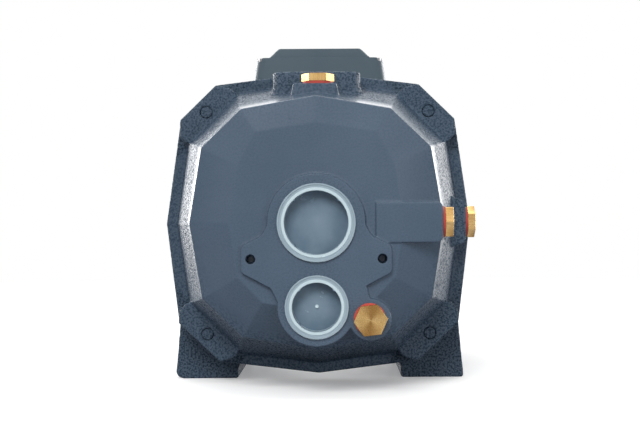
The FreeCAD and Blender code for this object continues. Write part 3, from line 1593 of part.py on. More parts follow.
def write_parts():
    os.makedirs("parts", exist_ok=True)
    for name, shape in all_nodes().items():
        if isinstance(shape, list):
            shape = Part.makeCompound(shape)
        solids = shape.Solids
        valid = shape.isValid()
        print(f"{name}: {len(solids)} solids, {shape.Volume:.0f} mm3, valid {valid}")
        shape.exportStep(f"parts/{name}.step")


write_parts()
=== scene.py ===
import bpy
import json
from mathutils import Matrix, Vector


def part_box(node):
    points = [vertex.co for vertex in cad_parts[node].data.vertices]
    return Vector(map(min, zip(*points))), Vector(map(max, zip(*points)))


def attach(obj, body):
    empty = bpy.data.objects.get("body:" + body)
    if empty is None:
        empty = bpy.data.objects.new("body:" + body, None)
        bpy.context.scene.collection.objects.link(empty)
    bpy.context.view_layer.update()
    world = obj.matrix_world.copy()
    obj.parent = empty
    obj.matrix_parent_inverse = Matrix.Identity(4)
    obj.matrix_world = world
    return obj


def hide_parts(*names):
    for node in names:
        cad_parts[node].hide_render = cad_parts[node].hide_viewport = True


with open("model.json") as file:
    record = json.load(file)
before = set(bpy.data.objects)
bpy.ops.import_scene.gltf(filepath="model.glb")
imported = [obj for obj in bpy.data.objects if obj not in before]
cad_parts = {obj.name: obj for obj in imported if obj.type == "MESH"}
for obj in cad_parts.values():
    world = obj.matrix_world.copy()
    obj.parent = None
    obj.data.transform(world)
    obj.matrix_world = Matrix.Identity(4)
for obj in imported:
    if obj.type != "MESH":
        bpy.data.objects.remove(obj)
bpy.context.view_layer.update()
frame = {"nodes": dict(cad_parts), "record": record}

import json
import math

import bmesh
import bpy
from mathutils import Vector

nodes = frame["nodes"]
mm = 0.001

print("scene: frame loaded,", len(nodes), "nodes")


# Camera: level, looking straight back at the pump from in front of the ejector pad
cameraPlace = {
    "distance": 0.75,               # from the pad's face
    "padToGasket": 97 * mm,         # from the pad's face back to the casing's gasket
    "across": 0.0125,               # to the right of the shaft
    "roll": 0.37,                   # degrees
    "imageWidth": 640.0,
    "imageHeight": 426.0,
    "focalPixels": 1250.0,
    "aimPixel": (337.0, 222.5),     # where the straight-ahead line meets the picture
    "sensorWidth": 36.0,
    "farEnd": 50.0,
}


def addCamera():
    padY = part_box("casing_gasket")[0].y - cameraPlace["padToGasket"]
    shaftZ = (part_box("shaft")[0].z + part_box("shaft")[1].z) / 2
    width = cameraPlace["imageWidth"]
    data = bpy.data.cameras.new("camera")
    data.sensor_width = cameraPlace["sensorWidth"]
    data.lens = cameraPlace["sensorWidth"] * cameraPlace["focalPixels"] / width
    data.shift_x = (width / 2 - cameraPlace["aimPixel"][0]) / width
    data.shift_y = (cameraPlace["aimPixel"][1] - cameraPlace["imageHeight"] / 2) / width
    data.clip_end = cameraPlace["farEnd"]
    camera = bpy.data.objects.new("camera", data)
    camera.location = (cameraPlace["across"], padY - cameraPlace["distance"], shaftZ)
    camera.rotation_euler = (math.radians(90), math.radians(cameraPlace["roll"]), 0)
    bpy.context.scene.collection.objects.link(camera)
    bpy.context.scene.camera = camera


studio = {
    # place, width and height, watts, what the lamp points at
    "lamps": {
        "key": ((-0.40, -1.70, 1.20), (1.0, 0.8), 33.0, (0, -0.1, 0.11)),
        "fill": ((1.00, -1.40, 0.25), (0.8, 0.6), 7.0, (0, -0.1, 0.08)),
        "overhead": ((0.0, 0.1, 1.35), (1.0, 1.0), 5.0, (0, 0, 0.1)),
        "leftRim": ((-1.20, 1.25, 0.38), (1.1, 1.0), 29.0, (0, 0, 0.10)),
        "rightRim": ((1.20, 1.25, 0.38), (1.1, 1.0), 21.0, (0, 0, 0.10)),
        "behind": ((0.0, 1.7, 1.15), (1.6, 0.9), 9.0, (0, 0.1, 0.1)),
    },
    "unmirrored": ("key", "fill"),      # these light the pump and leave no highlight on it
    # two values: on the camera's side and past the pump
    "roomLight": (0.55, 0.14),          # the room's strength as it lights the pump
    "roomMirrored": (0.75, 1.0),        # and in reflections
    "floorMirrored": (0.22, 1.0),       # the floor's in reflections
    "lightTurn": (-0.6, 0.6),           # where along y the first turns into the second
    "mirroredTurn": (-0.1, 0.3),
    # the floor
    "floorSize": 16.0,
    "floorLit": (0.86, 0.86, 0.86),     # as the camera sees it
    "floorBounce": (0.29, 0.32, 0.37),  # as it lights the pump from below
    "floorGlow": 0.22,
    "floorFade": (0.45, 1.5),           # from lit floor to plain white, distance from the pump
}


def addLamps():
    for name, (place, size, watts, aim) in studio["lamps"].items():
        data = bpy.data.lights.new(name, "AREA")
        data.shape = "RECTANGLE"
        data.size, data.size_y = size
        data.energy = watts
        lamp = bpy.data.objects.new(name, data)
        lamp.location = place
        lamp.visible_glossy = name not in studio["unmirrored"]
        lamp.rotation_euler = (Vector(aim) - Vector(place)).to_track_quat("-Z", "Y").to_euler()
        bpy.context.scene.collection.objects.link(lamp)


# Node helpers
def mathNode(tree, operation, first, second=None):
    node = tree.nodes.new("ShaderNodeMath")
    node.operation = operation
    for value, socket in zip((first, second), node.inputs):
        if isinstance(value, bpy.types.NodeSocket):
            tree.links.new(value, socket)
        elif value is not None:
            socket.default_value = value
    return node.outputs[0]


def splitAxes(tree, vector):
    node = tree.nodes.new("ShaderNodeSeparateXYZ")
    tree.links.new(vector, node.inputs[0])
    return node.outputs


def meshValue(tree, name, output="Vector"):
    # what the piece's own mesh carries under this name
    node = tree.nodes.new("ShaderNodeAttribute")
    node.attribute_name = name
    return node.outputs[output]


def remap(tree, value, low, high, start=0.0, end=1.0):
    # start to end as the value goes from low to high, held at both ends
    node = tree.nodes.new("ShaderNodeMapRange")
    tree.links.new(value, node.inputs["Value"])
    node.inputs["From Min"].default_value = low
    node.inputs["From Max"].default_value = high
    node.inputs["To Min"].default_value = start
    node.inputs["To Max"].default_value = end
    return node.outputs["Result"]


softStep = (0.3, 0.7)   # the part of a noise over which a look changes


def ramp(tree, source, low, high, step=softStep):
    # colours or plain numbers from low to high as the source passes the step
    node = tree.nodes.new("ShaderNodeValToRGB")
    for element, position, value in zip(node.color_ramp.elements, step, (low, high)):
        element.position = position
        element.color = (value, value, value, 1) if isinstance(value, float) else (*value, 1)
    tree.links.new(source, node.inputs["Fac"])
    return node.outputs["Color"]


def blendColours(tree, share, first, second):
    node = tree.nodes.new("ShaderNodeMix")
    node.data_type = "RGBA"
    for value, socket in ((share, node.inputs[0]), (first, node.inputs[6]), (second, node.inputs[7])):
        if isinstance(value, bpy.types.NodeSocket):
            tree.links.new(value, socket)
        else:
            socket.default_value = value if isinstance(value, float) else (*value, 1)
    return node.outputs[2]


# Noises: detail and roughness
noiseKinds = {
    "swell": (2.0, 0.55),
    "plain": (3.0, 0.55),
    "fine": (3.0, 0.6),
    "cloud": (4.0, 0.55),
    "patchy": (4.0, 0.6),
}


def noise(tree, place, scale, kind, stretch=None):
    texture = tree.nodes.new("ShaderNodeTexNoise")
    texture.inputs["Scale"].default_value = scale
    texture.inputs["Detail"].default_value, texture.inputs["Roughness"].default_value = noiseKinds[kind]
    if stretch:
        mapping = tree.nodes.new("ShaderNodeMapping")
        mapping.inputs["Scale"].default_value = stretch
        tree.links.new(place, mapping.inputs["Vector"])
        place = mapping.outputs["Vector"]
    tree.links.new(place, texture.inputs["Vector"])
    return texture.outputs["Fac"]


def bump(tree, shader, height, strength, depth, under=None):
    # one layer of relief, over another one if given
    node = tree.nodes.new("ShaderNodeBump")
    node.inputs["Distance"].default_value = depth
    if isinstance(strength, float):
        node.inputs["Strength"].default_value = strength
    else:
        tree.links.new(strength, node.inputs["Strength"])
    tree.links.new(height, node.inputs["Height"])
    if under is not None:
        tree.links.new(under, node.inputs["Normal"])
    tree.links.new(node.outputs["Normal"], shader.inputs["Normal"])
    return node.outputs["Normal"]


def seenByEye(tree, y, mirrored):
    # how white the surroundings are: 1 to the camera and through a see-through piece,
    # the given pair of strengths along y in a reflection, and 0 for plain lighting
    path = tree.nodes.new("ShaderNodeLightPath")
    strength = remap(tree, y, *studio["mirroredTurn"], *mirrored)
    strength = mathNode(tree, "MULTIPLY", path.outputs["Is Glossy Ray"], strength)
    eye = mathNode(tree, "MAXIMUM", path.outputs["Is Camera Ray"], path.outputs["Is Transmission Ray"])
    return mathNode(tree, "MAXIMUM", eye, strength)


# World and floor
def addWorld():
    world = bpy.data.worlds.new("paleRoom")
    world.use_nodes = True
    tree = world.node_tree
    background = tree.nodes["Background"]
    background.inputs["Color"].default_value = (1, 1, 1, 1)
    y = splitAxes(tree, tree.nodes.new("ShaderNodeTexCoord").outputs["Generated"])["Y"]
    eye = seenByEye(tree, y, studio["roomMirrored"])
    light = remap(tree, y, *studio["lightTurn"], *studio["roomLight"])
    tree.links.new(mathNode(tree, "MAXIMUM", eye, light), background.inputs["Strength"])
    world.cycles.sampling_method = "NONE"
    bpy.context.scene.world = world
    bpy.context.scene.view_settings.view_transform = "Standard"


def addFloor():
    mesh = bpy.data.meshes.new("floor")
    shape = bmesh.new()
    bmesh.ops.create_grid(shape, x_segments=1, y_segments=1, size=studio["floorSize"] / 2)
    shape.to_mesh(mesh)
    shape.free()
    floor = bpy.data.objects.new("floor", mesh)
    bpy.context.scene.collection.objects.link(floor)
    material = bpy.data.materials.new("paleFloor")
    material.use_nodes = True
    tree = material.node_tree
    tree.nodes.clear()
    output = tree.nodes.new("ShaderNodeOutputMaterial")
    place = tree.nodes.new("ShaderNodeTexCoord").outputs["Object"]
    reach = tree.nodes.new("ShaderNodeVectorMath")
    reach.operation = "LENGTH"
    tree.links.new(place, reach.inputs[0])
    fade = remap(tree, reach.outputs["Value"], *studio["floorFade"])
    eye = seenByEye(tree, splitAxes(tree, place)["Y"], studio["floorMirrored"])
    nearTone = blendColours(tree, eye, studio["floorBounce"], studio["floorLit"])
    matte = tree.nodes.new("ShaderNodeBsdfDiffuse")
    tree.links.new(blendColours(tree, fade, nearTone, (0.0, 0.0, 0.0)), matte.inputs["Color"])
    glow = tree.nodes.new("ShaderNodeEmission")
    level = remap(tree, fade, 0.0, 1.0, studio["floorGlow"], 1.0)
    tree.links.new(mathNode(tree, "MULTIPLY", eye, level), glow.inputs["Strength"])
    total = tree.nodes.new("ShaderNodeAddShader")
    tree.links.new(matte.outputs[0], total.inputs[0])
    tree.links.new(glow.outputs[0], total.inputs[1])
    tree.links.new(total.outputs[0], output.inputs["Surface"])
    mesh.materials.append(material)


def startMaterial(name):
    material = bpy.data.materials.new(name)
    material.use_nodes = True
    tree = material.node_tree
    shader = tree.nodes["Principled BSDF"]
    place = tree.nodes.new("ShaderNodeTexCoord").outputs["Object"]
    return material, tree, shader, place


# Paint on the castings, and on the bolts' ends in them. Along y: the face, the wall, the flange.
castLook = {
    "dark": (0.049, 0.076, 0.111), "light": (0.061, 0.090, 0.129), "cloudScale": 20.0,
    "wallFrom": (-0.142, -0.128),       # where the face turns into the wall
    "flangeFrom": (-0.0725, -0.0705),   # where the flange starts
    "lugFrom": (-0.0850, -0.0820),      # where the lugs on it start
    "lugSpread": (0.1375, 0.1390),      # they lie past this, across plus up from the shaft
    "shaftHeight": 0.106,
    "faceGrain": 0.035, "wallGrain": 0.70, "flangeGrain": 0.36,     # the lugs' is 1
    "paintedFlangeShade": 0.17,                       # painted shade: how much darker the flange is, set back behind the face
    # painted shade: the colour of the flange's shade and of the dark specks, which stand for shade in the
    # pits of the cast grain
    "paintedShadeColour": (0.013, 0.021, 0.031),
    "speckScale": 760.0, "pitShadeShare": 0.68, "speckStep": (0.46, 0.60),
    "gloss": (0.22, 0.34), "wallGloss": (0.42, 0.64), "wallStep": (0.44, 0.60),
    "specular": 0.5, "speckSheen": 0.0, "sheenStep": (0.47, 0.57),
    "swellScale": 70.0, "swell": 0.20, "swellDepth": 0.8 * mm,
    "grainScale": 900.0, "grain": 0.90, "grainDepth": 1.0 * mm,
}


def castPaint(name, look):
    # sprayed paint over a sand-cast skin, rougher from the face to the wall and the lugs, with painted
    # shade on the flange and in the grain's pits
    material, tree, shader, place = startMaterial(name)
    axes = splitAxes(tree, place)
    wall = remap(tree, axes["Y"], *look["wallFrom"])
    height = mathNode(tree, "SUBTRACT", axes["Z"], look["shaftHeight"])
    height = mathNode(tree, "ABSOLUTE", height)
    spread = mathNode(tree, "ADD", mathNode(tree, "ABSOLUTE", axes["X"]), height)
    corner = remap(tree, spread, *look["lugSpread"])
    lug = mathNode(tree, "MULTIPLY", corner, remap(tree, axes["Y"], *look["lugFrom"]))
    flange = mathNode(tree, "MAXIMUM", remap(tree, axes["Y"], *look["flangeFrom"]), lug)

    rough = mathNode(tree, "MULTIPLY", wall, look["wallGrain"])
    rough = mathNode(tree, "MAXIMUM", rough, look["faceGrain"])
    rough = blendColours(tree, flange, rough, (look["flangeGrain"],) * 3)
    rough = mathNode(tree, "MAXIMUM", rough, lug)

    cloud = noise(tree, place, look["cloudScale"], "plain")
    speck = noise(tree, place, look["speckScale"], "fine")
    tone = ramp(tree, cloud, look["dark"], look["light"])
    # painted shade: the flange, set back behind the face, is darkened towards the shade colour
    paintedFlangeShade = mathNode(tree, "MULTIPLY", flange, look["paintedFlangeShade"])
    tone = blendColours(tree, paintedFlangeShade, tone, look["paintedShadeColour"])
    # painted shade: dark specks where the grain is rough, standing for the shade in its pits, most on the
    # lugs
    share = ramp(tree, speck, 0.0, look["pitShadeShare"], look["speckStep"])
    share = mathNode(tree, "MULTIPLY", share, rough)
    tone = blendColours(tree, share, tone, look["paintedShadeColour"])
    tree.links.new(tone, shader.inputs["Base Color"])

    gloss = ramp(tree, speck, *look["gloss"])
    wallGloss = ramp(tree, speck, *look["wallGloss"], look["wallStep"])
    tree.links.new(blendColours(tree, wall, gloss, wallGloss), shader.inputs["Roughness"])
    sheen = ramp(tree, speck, look["specular"], look["speckSheen"], look["sheenStep"])
    sheen = blendColours(tree, wall, (look["specular"],) * 3, sheen)
    tree.links.new(sheen, shader.inputs["Specular IOR Level"])

    swell = noise(tree, place, look["swellScale"], "swell")
    under = bump(tree, shader, swell, look["swell"], look["swellDepth"])
    grain = noise(tree, place, look["grainScale"], "fine")
    relief = mathNode(tree, "MULTIPLY", rough, look["grain"])
    bump(tree, shader, grain, relief, look["grainDepth"], under)
    return material


# Paint on the motor and its box
smoothLook = {
    "cloudScale": 18.0, "specular": 0.45, "gloss": (0.34, 0.46),
    "peelScale": 520.0, "peel": 0.22, "peelDepth": 0.2 * mm,
}
motorTones = {"dark": (0.055, 0.088, 0.124), "light": (0.074, 0.110, 0.150)}
boxTones = {"dark": (0.044, 0.068, 0.086), "light": (0.058, 0.083, 0.102)}


def smoothPaint(name, tones):
    # paint over die-cast or pressed metal: fine orange peel, faint blotches
    look = {**smoothLook, **tones}
    material, tree, shader, place = startMaterial(name)
    cloud = noise(tree, place, look["cloudScale"], "plain")
    tree.links.new(ramp(tree, cloud, look["dark"], look["light"]), shader.inputs["Base Color"])
    peel = noise(tree, place, look["peelScale"], "plain")
    tree.links.new(ramp(tree, peel, *look["gloss"]), shader.inputs["Roughness"])
    shader.inputs["Specular IOR Level"].default_value = look["specular"]
    bump(tree, shader, peel, look["peel"], look["peelDepth"])
    return material


def metal(name, look):
    # bare metal with a turned, ground or rolled skin and slight tarnish
    look = {"cloudScale": 60.0, "depth": 0.12 * mm, "stretch": None, **look}
    material, tree, shader, place = startMaterial(name)
    cloud = noise(tree, place, look["cloudScale"], "cloud")
    tree.links.new(ramp(tree, cloud, look["dark"], look["light"]), shader.inputs["Base Color"])
    shader.inputs["Metallic"].default_value = 1.0
    lines = noise(tree, place, look["lineScale"], "fine", look["stretch"])
    tree.links.new(ramp(tree, lines, *look["gloss"]), shader.inputs["Roughness"])
    bump(tree, shader, lines, look["relief"], look["depth"])
    return material


def moulded(name, look):
    # rubber, plastic, fibre or ceramic: a faint grain and a little unevenness of colour
    look = {"cloudScale": 45.0, "depth": 0.15 * mm, **look}
    material, tree, shader, place = startMaterial(name)
    cloud = noise(tree, place, look["cloudScale"], "cloud")
    tree.links.new(ramp(tree, cloud, look["dark"], look["light"]), shader.inputs["Base Color"])
    grain = noise(tree, place, look["grainScale"], "cloud")
    tree.links.new(ramp(tree, grain, *look["gloss"]), shader.inputs["Roughness"])
    bump(tree, shader, grain, look["relief"], look["depth"])
    return material


# Finishes of the plain metals and mouldings
steel = {"lineScale": 420.0, "relief": 0.12, "gloss": (0.28, 0.42)}
dull = {"grainScale": 620.0, "relief": 0.20, "gloss": (0.45, 0.62)}
metalLooks = {
    "bolt_steel": ("zincSteel", {"dark": (0.36, 0.36, 0.38), "light": (0.54, 0.54, 0.54), **steel}),
    "shaft_steel": ("shaftSteel", {"dark": (0.48, 0.48, 0.49), "light": (0.62, 0.62, 0.63), **steel}),
    "bearing_steel": ("bearingSteel", {
        "dark": (0.55, 0.55, 0.57), "light": (0.66, 0.66, 0.67),
        "lineScale": 200.0, "relief": 0.03, "gloss": (0.10, 0.18),
    }),
    "lamination_steel": ("laminations", {
        "dark": (0.22, 0.22, 0.23), "light": (0.36, 0.36, 0.36),
        "lineScale": 1.0, "stretch": (20.0, 1800.0, 20.0), "relief": 0.5, "gloss": (0.40, 0.58),
    }),
    "cast_aluminium": ("castAluminium", {
        "dark": (0.52, 0.52, 0.53), "light": (0.70, 0.70, 0.70),
        "lineScale": 380.0, "relief": 0.3, "gloss": (0.42, 0.58),
    }),
    "copper_wire": ("copperWire", {
        "dark": (0.48, 0.20, 0.09), "light": (0.70, 0.34, 0.17),
        "lineScale": 1.0, "stretch": (900.0, 120.0, 900.0), "relief": 0.8, "gloss": (0.25, 0.45),
    }),
    "brass": ("plainBrass", {
        "dark": (0.50, 0.30, 0.10), "light": (0.72, 0.46, 0.17), "cloudScale": 130.0,
        "lineScale": 700.0, "relief": 0.15, "gloss": (0.22, 0.36),
    }),
}
mouldedLooks = {
    "gasket": ("blackRubber", {"dark": (0.012, 0.012, 0.013), "light": (0.028, 0.028, 0.030), **dull}),
    "pump_plastic": ("pumpPlastic", {"dark": (0.018, 0.018, 0.02), "light": (0.036, 0.036, 0.04), **dull}),
    "fan_plastic": ("fanPlastic", {"dark": (0.022, 0.022, 0.024), "light": (0.045, 0.045, 0.048), **dull}),
    "board_plastic": ("boardPlastic", {"dark": (0.46, 0.43, 0.35), "light": (0.58, 0.55, 0.47), **dull}),
    "gland_plastic": ("glandNylon", {
        "dark": (0.016, 0.016, 0.018), "light": (0.032, 0.032, 0.035), **dull,
    }),
    "red_fibre": ("redFibre", {"dark": (0.34, 0.045, 0.035), "light": (0.48, 0.080, 0.060), **dull}),
    "capacitor_plastic": ("capacitorCan", {
        "dark": (0.66, 0.66, 0.64), "light": (0.78, 0.78, 0.76),
        "grainScale": 300.0, "relief": 0.05, "gloss": (0.22, 0.32),
    }),
    "seal_ceramic": ("sealCeramic", {
        "dark": (0.74, 0.73, 0.69), "light": (0.84, 0.83, 0.80),
        "grainScale": 500.0, "relief": 0.02, "gloss": (0.15, 0.25),
    }),
    "seal_carbon": ("sealCarbon", {
        "dark": (0.018, 0.018, 0.019), "light": (0.040, 0.040, 0.042),
        "grainScale": 700.0, "relief": 0.08, "gloss": (0.25, 0.4),
    }),
}


# The four hexagon plugs
plugLook = {
    "bright": (0.99, 0.65, 0.27), "dull": (0.86, 0.52, 0.18), "tarnishAndDarkReflection": (0.38, 0.185, 0.050),
    "cloudScale": 110.0, "cloudStep": (0.30, 0.60),
    "lathe": 0.90,                      # how far the shine is drawn out round the axis
    "reflectionFans": 2.0, "reflectionFanTurn": 0.15, "reflectionFanDepth": 0.85,     # painted reflection: dark fans on the end
    "lineScale": 1400.0, "stretch": (1.0, 1.0, 0.05), "lineShare": 0.35, "lineStep": (0.50, 0.75),
    "gloss": (0.20, 0.34), "relief": 0.25, "depth": 0.1 * mm,
}


def turnedBrass():
    # lathe marks round the end with a painted reflection in dark fans on it, drawn lines along the flats,
    # slight tarnish
    look = plugLook
    material, tree, shader, place = startMaterial("turnedBrass")
    own = meshValue(tree, "plugPlace")
    cloud = noise(tree, place, look["cloudScale"], "patchy")
    drawn = noise(tree, own, look["lineScale"], "fine", look["stretch"])
    tone = ramp(tree, cloud, look["dull"], look["bright"], look["cloudStep"])
    lines = ramp(tree, drawn, 0.0, look["lineShare"], look["lineStep"])
    tone = blendColours(tree, lines, tone, look["tarnishAndDarkReflection"])
    # painted reflection: dark fans round the end face, set by the angle round the axis, in the tarnish
    # colour
    axes = splitAxes(tree, own)
    angle = mathNode(tree, "ARCTAN2", axes["Y"], axes["X"])
    angle = mathNode(tree, "ADD", angle, look["reflectionFanTurn"])
    reflectionFans = mathNode(tree, "COSINE", mathNode(tree, "MULTIPLY", angle, look["reflectionFans"]))
    reflectionFans = remap(tree, reflectionFans, -1.0, 1.0, look["reflectionFanDepth"], 0.0)
    reflectionFans = mathNode(tree, "MULTIPLY", reflectionFans, meshValue(tree, "plugEnd", "Fac"))
    tree.links.new(blendColours(tree, reflectionFans, tone, look["tarnishAndDarkReflection"]), shader.inputs["Base Color"])
    shader.inputs["Metallic"].default_value = 1.0
    shader.inputs["Anisotropic"].default_value = look["lathe"]
    tree.links.new(meshValue(tree, "plugRadial"), shader.inputs["Tangent"])
    tree.links.new(ramp(tree, drawn, *look["gloss"]), shader.inputs["Roughness"])
    bump(tree, shader, drawn, look["relief"], look["depth"])
    return material


# The two port caps
capLook = {
    "thin": (0.095, 0.150, 0.205), "thick": (0.58, 0.70, 0.74), "clear": 0.14, "milky": 0.25,
    # distances past the cap's inside: where the ring's milk comes in, and where it thins again
    "edge": (-0.4 * mm, 0.3 * mm), "flange": (1.5 * mm, 2.0 * mm), "flangeMilk": 0.60,
    # distances from the cap's middle, over which a painted reflection, a soft bright patch, fades out
    "middle": (1.0 * mm, 14.0 * mm), "paintedMiddleGlow": 0.12,
    "gate": (1.5 * mm, 0.8 * mm), "gateCap": (16.0 * mm, 18.0 * mm),    # moulding point, small cap only
    "swirlScale": 60.0, "swirlStep": (0.35, 0.65), "swirl": 0.06, "swirlColour": (0.85, 0.95, 1.0),
    "hazeScale": 120.0, "gloss": (0.16, 0.28), "relief": 0.04, "depth": 0.1 * mm,
    "refraction": 1.40,
}


def milkyPlastic():
    # see-through plastic, whiter where the wall is thick, with a painted reflection as a soft bright patch
    # in the middle
    look = capLook
    material, tree, shader, place = startMaterial("milkyPlastic")
    axes = splitAxes(tree, meshValue(tree, "capPlace"))
    across = mathNode(tree, "POWER", axes["X"], 2.0)
    height = mathNode(tree, "POWER", axes["Z"], 2.0)
    reach = mathNode(tree, "SQRT", mathNode(tree, "ADD", across, height))
    beyond = mathNode(tree, "SUBTRACT", reach, axes["Y"])
    milkAndGlow = remap(tree, beyond, *look["edge"])
    thinner = remap(tree, beyond, *look["flange"], 0.0, look["flangeMilk"])
    milkAndGlow = mathNode(tree, "SUBTRACT", milkAndGlow, thinner)
    # painted reflection: a soft bright patch in the cap's middle
    milkAndGlow = mathNode(tree, "ADD", milkAndGlow, remap(tree, reach, *look["middle"], look["paintedMiddleGlow"], 0.0))
    gate = remap(tree, axes["Y"], *look["gateCap"], 1.0, 0.0)
    gate = mathNode(tree, "MULTIPLY", gate, remap(tree, reach, *look["gate"]))
    milkAndGlow = mathNode(tree, "MAXIMUM", milkAndGlow, gate)
    tone = blendColours(tree, milkAndGlow, look["thin"], look["thick"])
    swirl = ramp(tree, noise(tree, place, look["swirlScale"], "cloud"), 0.0, 1.0, look["swirlStep"])
    swirl = mathNode(tree, "MULTIPLY", swirl, look["swirl"])
    tree.links.new(blendColours(tree, swirl, tone, look["swirlColour"]), shader.inputs["Base Color"])
    haze = noise(tree, place, look["hazeScale"], "plain")
    tree.links.new(ramp(tree, haze, *look["gloss"]), shader.inputs["Roughness"])
    clear = remap(tree, milkAndGlow, 0.0, 1.0, look["clear"], look["milky"])
    tree.links.new(clear, shader.inputs["Transmission Weight"])
    shader.inputs["IOR"].default_value = look["refraction"]
    bump(tree, shader, haze, look["relief"], look["depth"])
    return material


def makeMaterials():
    made = {
        "casing_paint": castPaint("castPaint", castLook),
        "bolt_paint": castPaint("boltPaint", castLook),
        "motor_paint": smoothPaint("motorPaint", motorTones),
        "box_paint": smoothPaint("boxPaint", boxTones),
        "cover_paint": smoothPaint("coverPaint", motorTones),
        "cap_plastic": milkyPlastic(),
    }
    for slotName, (name, look) in metalLooks.items():
        made[slotName] = metal(name, look)
    for slotName, (name, look) in mouldedLooks.items():
        made[slotName] = moulded(name, look)
    return made


def nodeFacts():
    # the slot and the body of each CAD node
    slots = {part["node"]: part["material_slot"] for part in frame["record"]["subparts"]}
    bodies = {}
    for body, members in frame["record"]["behaviour"]["bodies"].items():
        for member in members:
            bodies[member] = body
    return slots, bodies


def dressCadNodes():
    # every CAD node that stays takes its slot's finish
    for name, slotName in slotOf.items():
        node = nodes[name]
        material = materials[slotName]
        if node.material_slots:
            for place in node.material_slots:
                place.material = material
        else:
            node.data.materials.append(material)


# Shape helpers
mergeDistance = 0.002 * mm


def mergedCopy(node):
    # the CAD node's triangles, joined at their corners
    shape = bmesh.new()
    shape.from_mesh(nodes[node].data)
    bmesh.ops.remove_doubles(shape, verts=shape.verts, dist=mergeDistance)
    return shape


def settle(mesh, name, kind, setting):
    # the mesh with one modifier applied
    carrier = bpy.data.objects.new(name + "_carrier", mesh)
    bpy.context.scene.collection.objects.link(carrier)
    modifier = carrier.modifiers.new("change", kind)
    for key, value in setting.items():
        setattr(modifier, key, value)
    depsgraph = bpy.context.evaluated_depsgraph_get()
    changed = bpy.data.meshes.new_from_object(carrier.evaluated_get(depsgraph))
    bpy.data.objects.remove(carrier)
    changed.name = name
    return changed


def publish(mesh, node, name, material=None):
    # the finished mesh takes the CAD node's place, body and slot
    piece = bpy.data.objects.new(name, mesh)
    bpy.context.scene.collection.objects.link(piece)
    mesh.materials.clear()
    mesh.materials.append(material or materials[slotOf[node]])
    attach(piece, bodyOf[node])
    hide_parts(node)


# Castings: the voxel sets how soft the edges get
casing = {"voxel": 0.62 * mm, "quickVoxel": 1.116 * mm, "passes": 3, "smoothing": 0.5, "triangles": 195000}
bracket = {"voxel": 1.0 * mm, "quickVoxel": 1.8 * mm, "passes": 4, "smoothing": 0.5, "triangles": 150000}


def castPiece(node, name, look):
    # the CAD shape with the soft edges of a sand casting
    shape = mergedCopy(node)
    mesh = bpy.data.meshes.new(name)
    shape.to_mesh(mesh)
    shape.free()
    voxel = look["voxel"]
    mesh = settle(mesh, name, "REMESH", {"mode": "VOXEL", "voxel_size": voxel, "use_smooth_shade": True})
    mesh = settle(mesh, name, "SMOOTH", {"factor": look["smoothing"], "iterations": look["passes"]})
    count = sum(len(face.vertices) - 2 for face in mesh.polygons)
    if count > look["triangles"]:
        mesh = settle(mesh, name, "DECIMATE", {"ratio": look["triangles"] / count})
    mesh.polygons.foreach_set("use_smooth", [True] * len(mesh.polygons))
    print("scene:", name, count, "triangles, kept", len(mesh.polygons), "faces")
    publish(mesh, node, name)


# Pieces with a machined or pressed edge: node, name, width of the edge, steps across it
crispRows = (
    ("terminal_box_cover", "boxLid", 0.8 * mm, 3),
    ("terminal_box_base", "boxBase", 0.5 * mm, 2),
    ("motor_frame", "finnedFrame", 0.35 * mm, 2),
    ("rear_endshield", "rearShield", 0.5 * mm, 2),
    ("fan_cover", "fanCowl", 0.35 * mm, 2),
    ("cable_gland", "glandBody", 0.4 * mm, 2),
    ("gland_nut", "glandNut", 0.4 * mm, 2),
    ("casing_bolts", "clampBolts", 0.25 * mm, 2),
    ("tie_bolts", "longBolts", 0.2 * mm, 2),
    ("fan_cover_screws", "cowlScrews", 0.2 * mm, 2),
    ("terminal_cover_screws", "lidScrews", 0.15 * mm, 2),
    ("cooling_fan", "coolingFan", 0.3 * mm, 1),
)
# Degrees between two faces: up to flat they become one, past sharp their edge is bevelled,
# and past crease an edge stays hard
crispAngles = {"flat": 0.5, "sharp": 32.0, "crease": 40.0}
normalWeight = 50


def crispMesh(node, name, edgeWidth, steps):
    # the CAD shape with its sharp edges taken off
    shape = mergedCopy(node)
    flat, sharp, crease = (math.radians(crispAngles[kind]) for kind in ("flat", "sharp", "crease"))
    bmesh.ops.dissolve_limit(
        shape, angle_limit=flat, use_dissolve_boundaries=False,
        verts=shape.verts, edges=shape.edges, delimit=set(),
    )
    sharpEdges = [
        edge for edge in shape.edges
        if len(edge.link_faces) == 2 and edge.calc_face_angle() > sharp
    ]
    bmesh.ops.bevel(
        shape, geom=sharpEdges, offset=edgeWidth, offset_type="OFFSET", affect="EDGES",
        segments=steps, profile=0.5, material=-1, clamp_overlap=True,
    )
    bmesh.ops.triangulate(shape, faces=[face for face in shape.faces if len(face.verts) > 4])
    for face in shape.faces:
        face.smooth = True
    for edge in shape.edges:
        if len(edge.link_faces) == 2:
            edge.smooth = edge.calc_face_angle() < crease
    mesh = bpy.data.meshes.new(name)
    shape.to_mesh(mesh)
    shape.free()
    return settle(mesh, name, "WEIGHTED_NORMAL", {"keep_sharp": True, "weight": normalWeight})


# Plugs: which way each one comes out
plug = {
    "outward": {
        "priming": (0, 0, 1),
        "vacuum_gauge": (1, 0, 0),
        "pressure_gauge": (1, 0, 0),
        "drain": (0, -1, 0),
    },
    "edge": 0.35 * mm,
    "steps": 2,
}


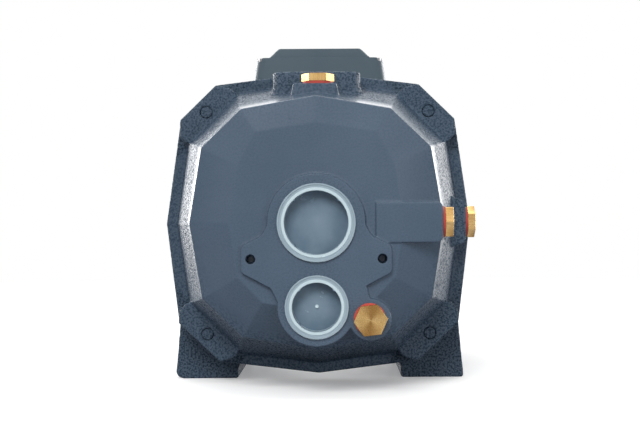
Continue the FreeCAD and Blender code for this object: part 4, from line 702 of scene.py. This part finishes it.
def brassPlug(name, axis):
    # the mesh carries, for the brass: the way out from the axis, the place, and 1 on the end
    node = name + "_plug"
    mesh = crispMesh(node, name.replace("_", "") + "Plug", plug["edge"], plug["steps"])
    low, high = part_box(node)
    outward = Vector(axis)
    middle = (low + high) / 2
    turn = outward.to_track_quat("Z", "Y").to_matrix().inverted()
    kinds = {"plugRadial": "FLOAT_VECTOR", "plugPlace": "FLOAT_VECTOR", "plugEnd": "FLOAT"}
    for label, kind in kinds.items():
        mesh.attributes.new(label, kind, "POINT")
    rows = [mesh.attributes[label].data for label in kinds]
    face = abs((high - low).dot(outward)) / 2 - plug["edge"]
    for vertex, away, spot, share in zip(mesh.vertices, *rows):
        offset = vertex.co - middle
        share.value = float(offset.dot(outward) > face)
        away.vector = (offset - outward * offset.dot(outward)).normalized()
        spot.vector = turn @ offset
    publish(mesh, node, mesh.name, plugBrass)


# Port caps
cap = {
    "names": {"suction_cap": "suctionCap", "drive_cap": "driveCap"},
    "tubeWall": 1.3 * mm,
    "flangeProud": 3.0 * mm,    # of the tube, each side
    "edge": 0.2 * mm,
    "steps": 2,
}


def portCap(node, name):
    # the mesh carries the place across and up from the cap's middle, with the inner radius between
    mesh = crispMesh(node, name, cap["edge"], cap["steps"])
    low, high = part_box(node)
    middle = (low + high) / 2
    inner = (high.x - low.x) / 2 - cap["flangeProud"] - cap["tubeWall"]
    own = mesh.attributes.new("capPlace", "FLOAT_VECTOR", "POINT")
    for vertex, spot in zip(mesh.vertices, own.data):
        spot.vector = (vertex.co.x - middle.x, inner, vertex.co.z - middle.z)
    publish(mesh, node, name)


slotOf, bodyOf = nodeFacts()
materials = makeMaterials()
plugBrass = turnedBrass()
addCamera()
addLamps()
addWorld()
addFloor()
dressCadNodes()
print("scene: stage and materials ready")

castPiece("pump_casing", "castCasing", casing)
castPiece("motor_bracket", "castBracket", bracket)
for node, name, edgeWidth, steps in crispRows:
    publish(crispMesh(node, name, edgeWidth, steps), node, name)
print("scene: edges taken off", len(crispRows), "pieces")
for plugName, plugAxis in plug["outward"].items():
    brassPlug(plugName, plugAxis)
for capNode, capName in cap["names"].items():
    portCap(capNode, capName)
print("scene: plugs and caps done")
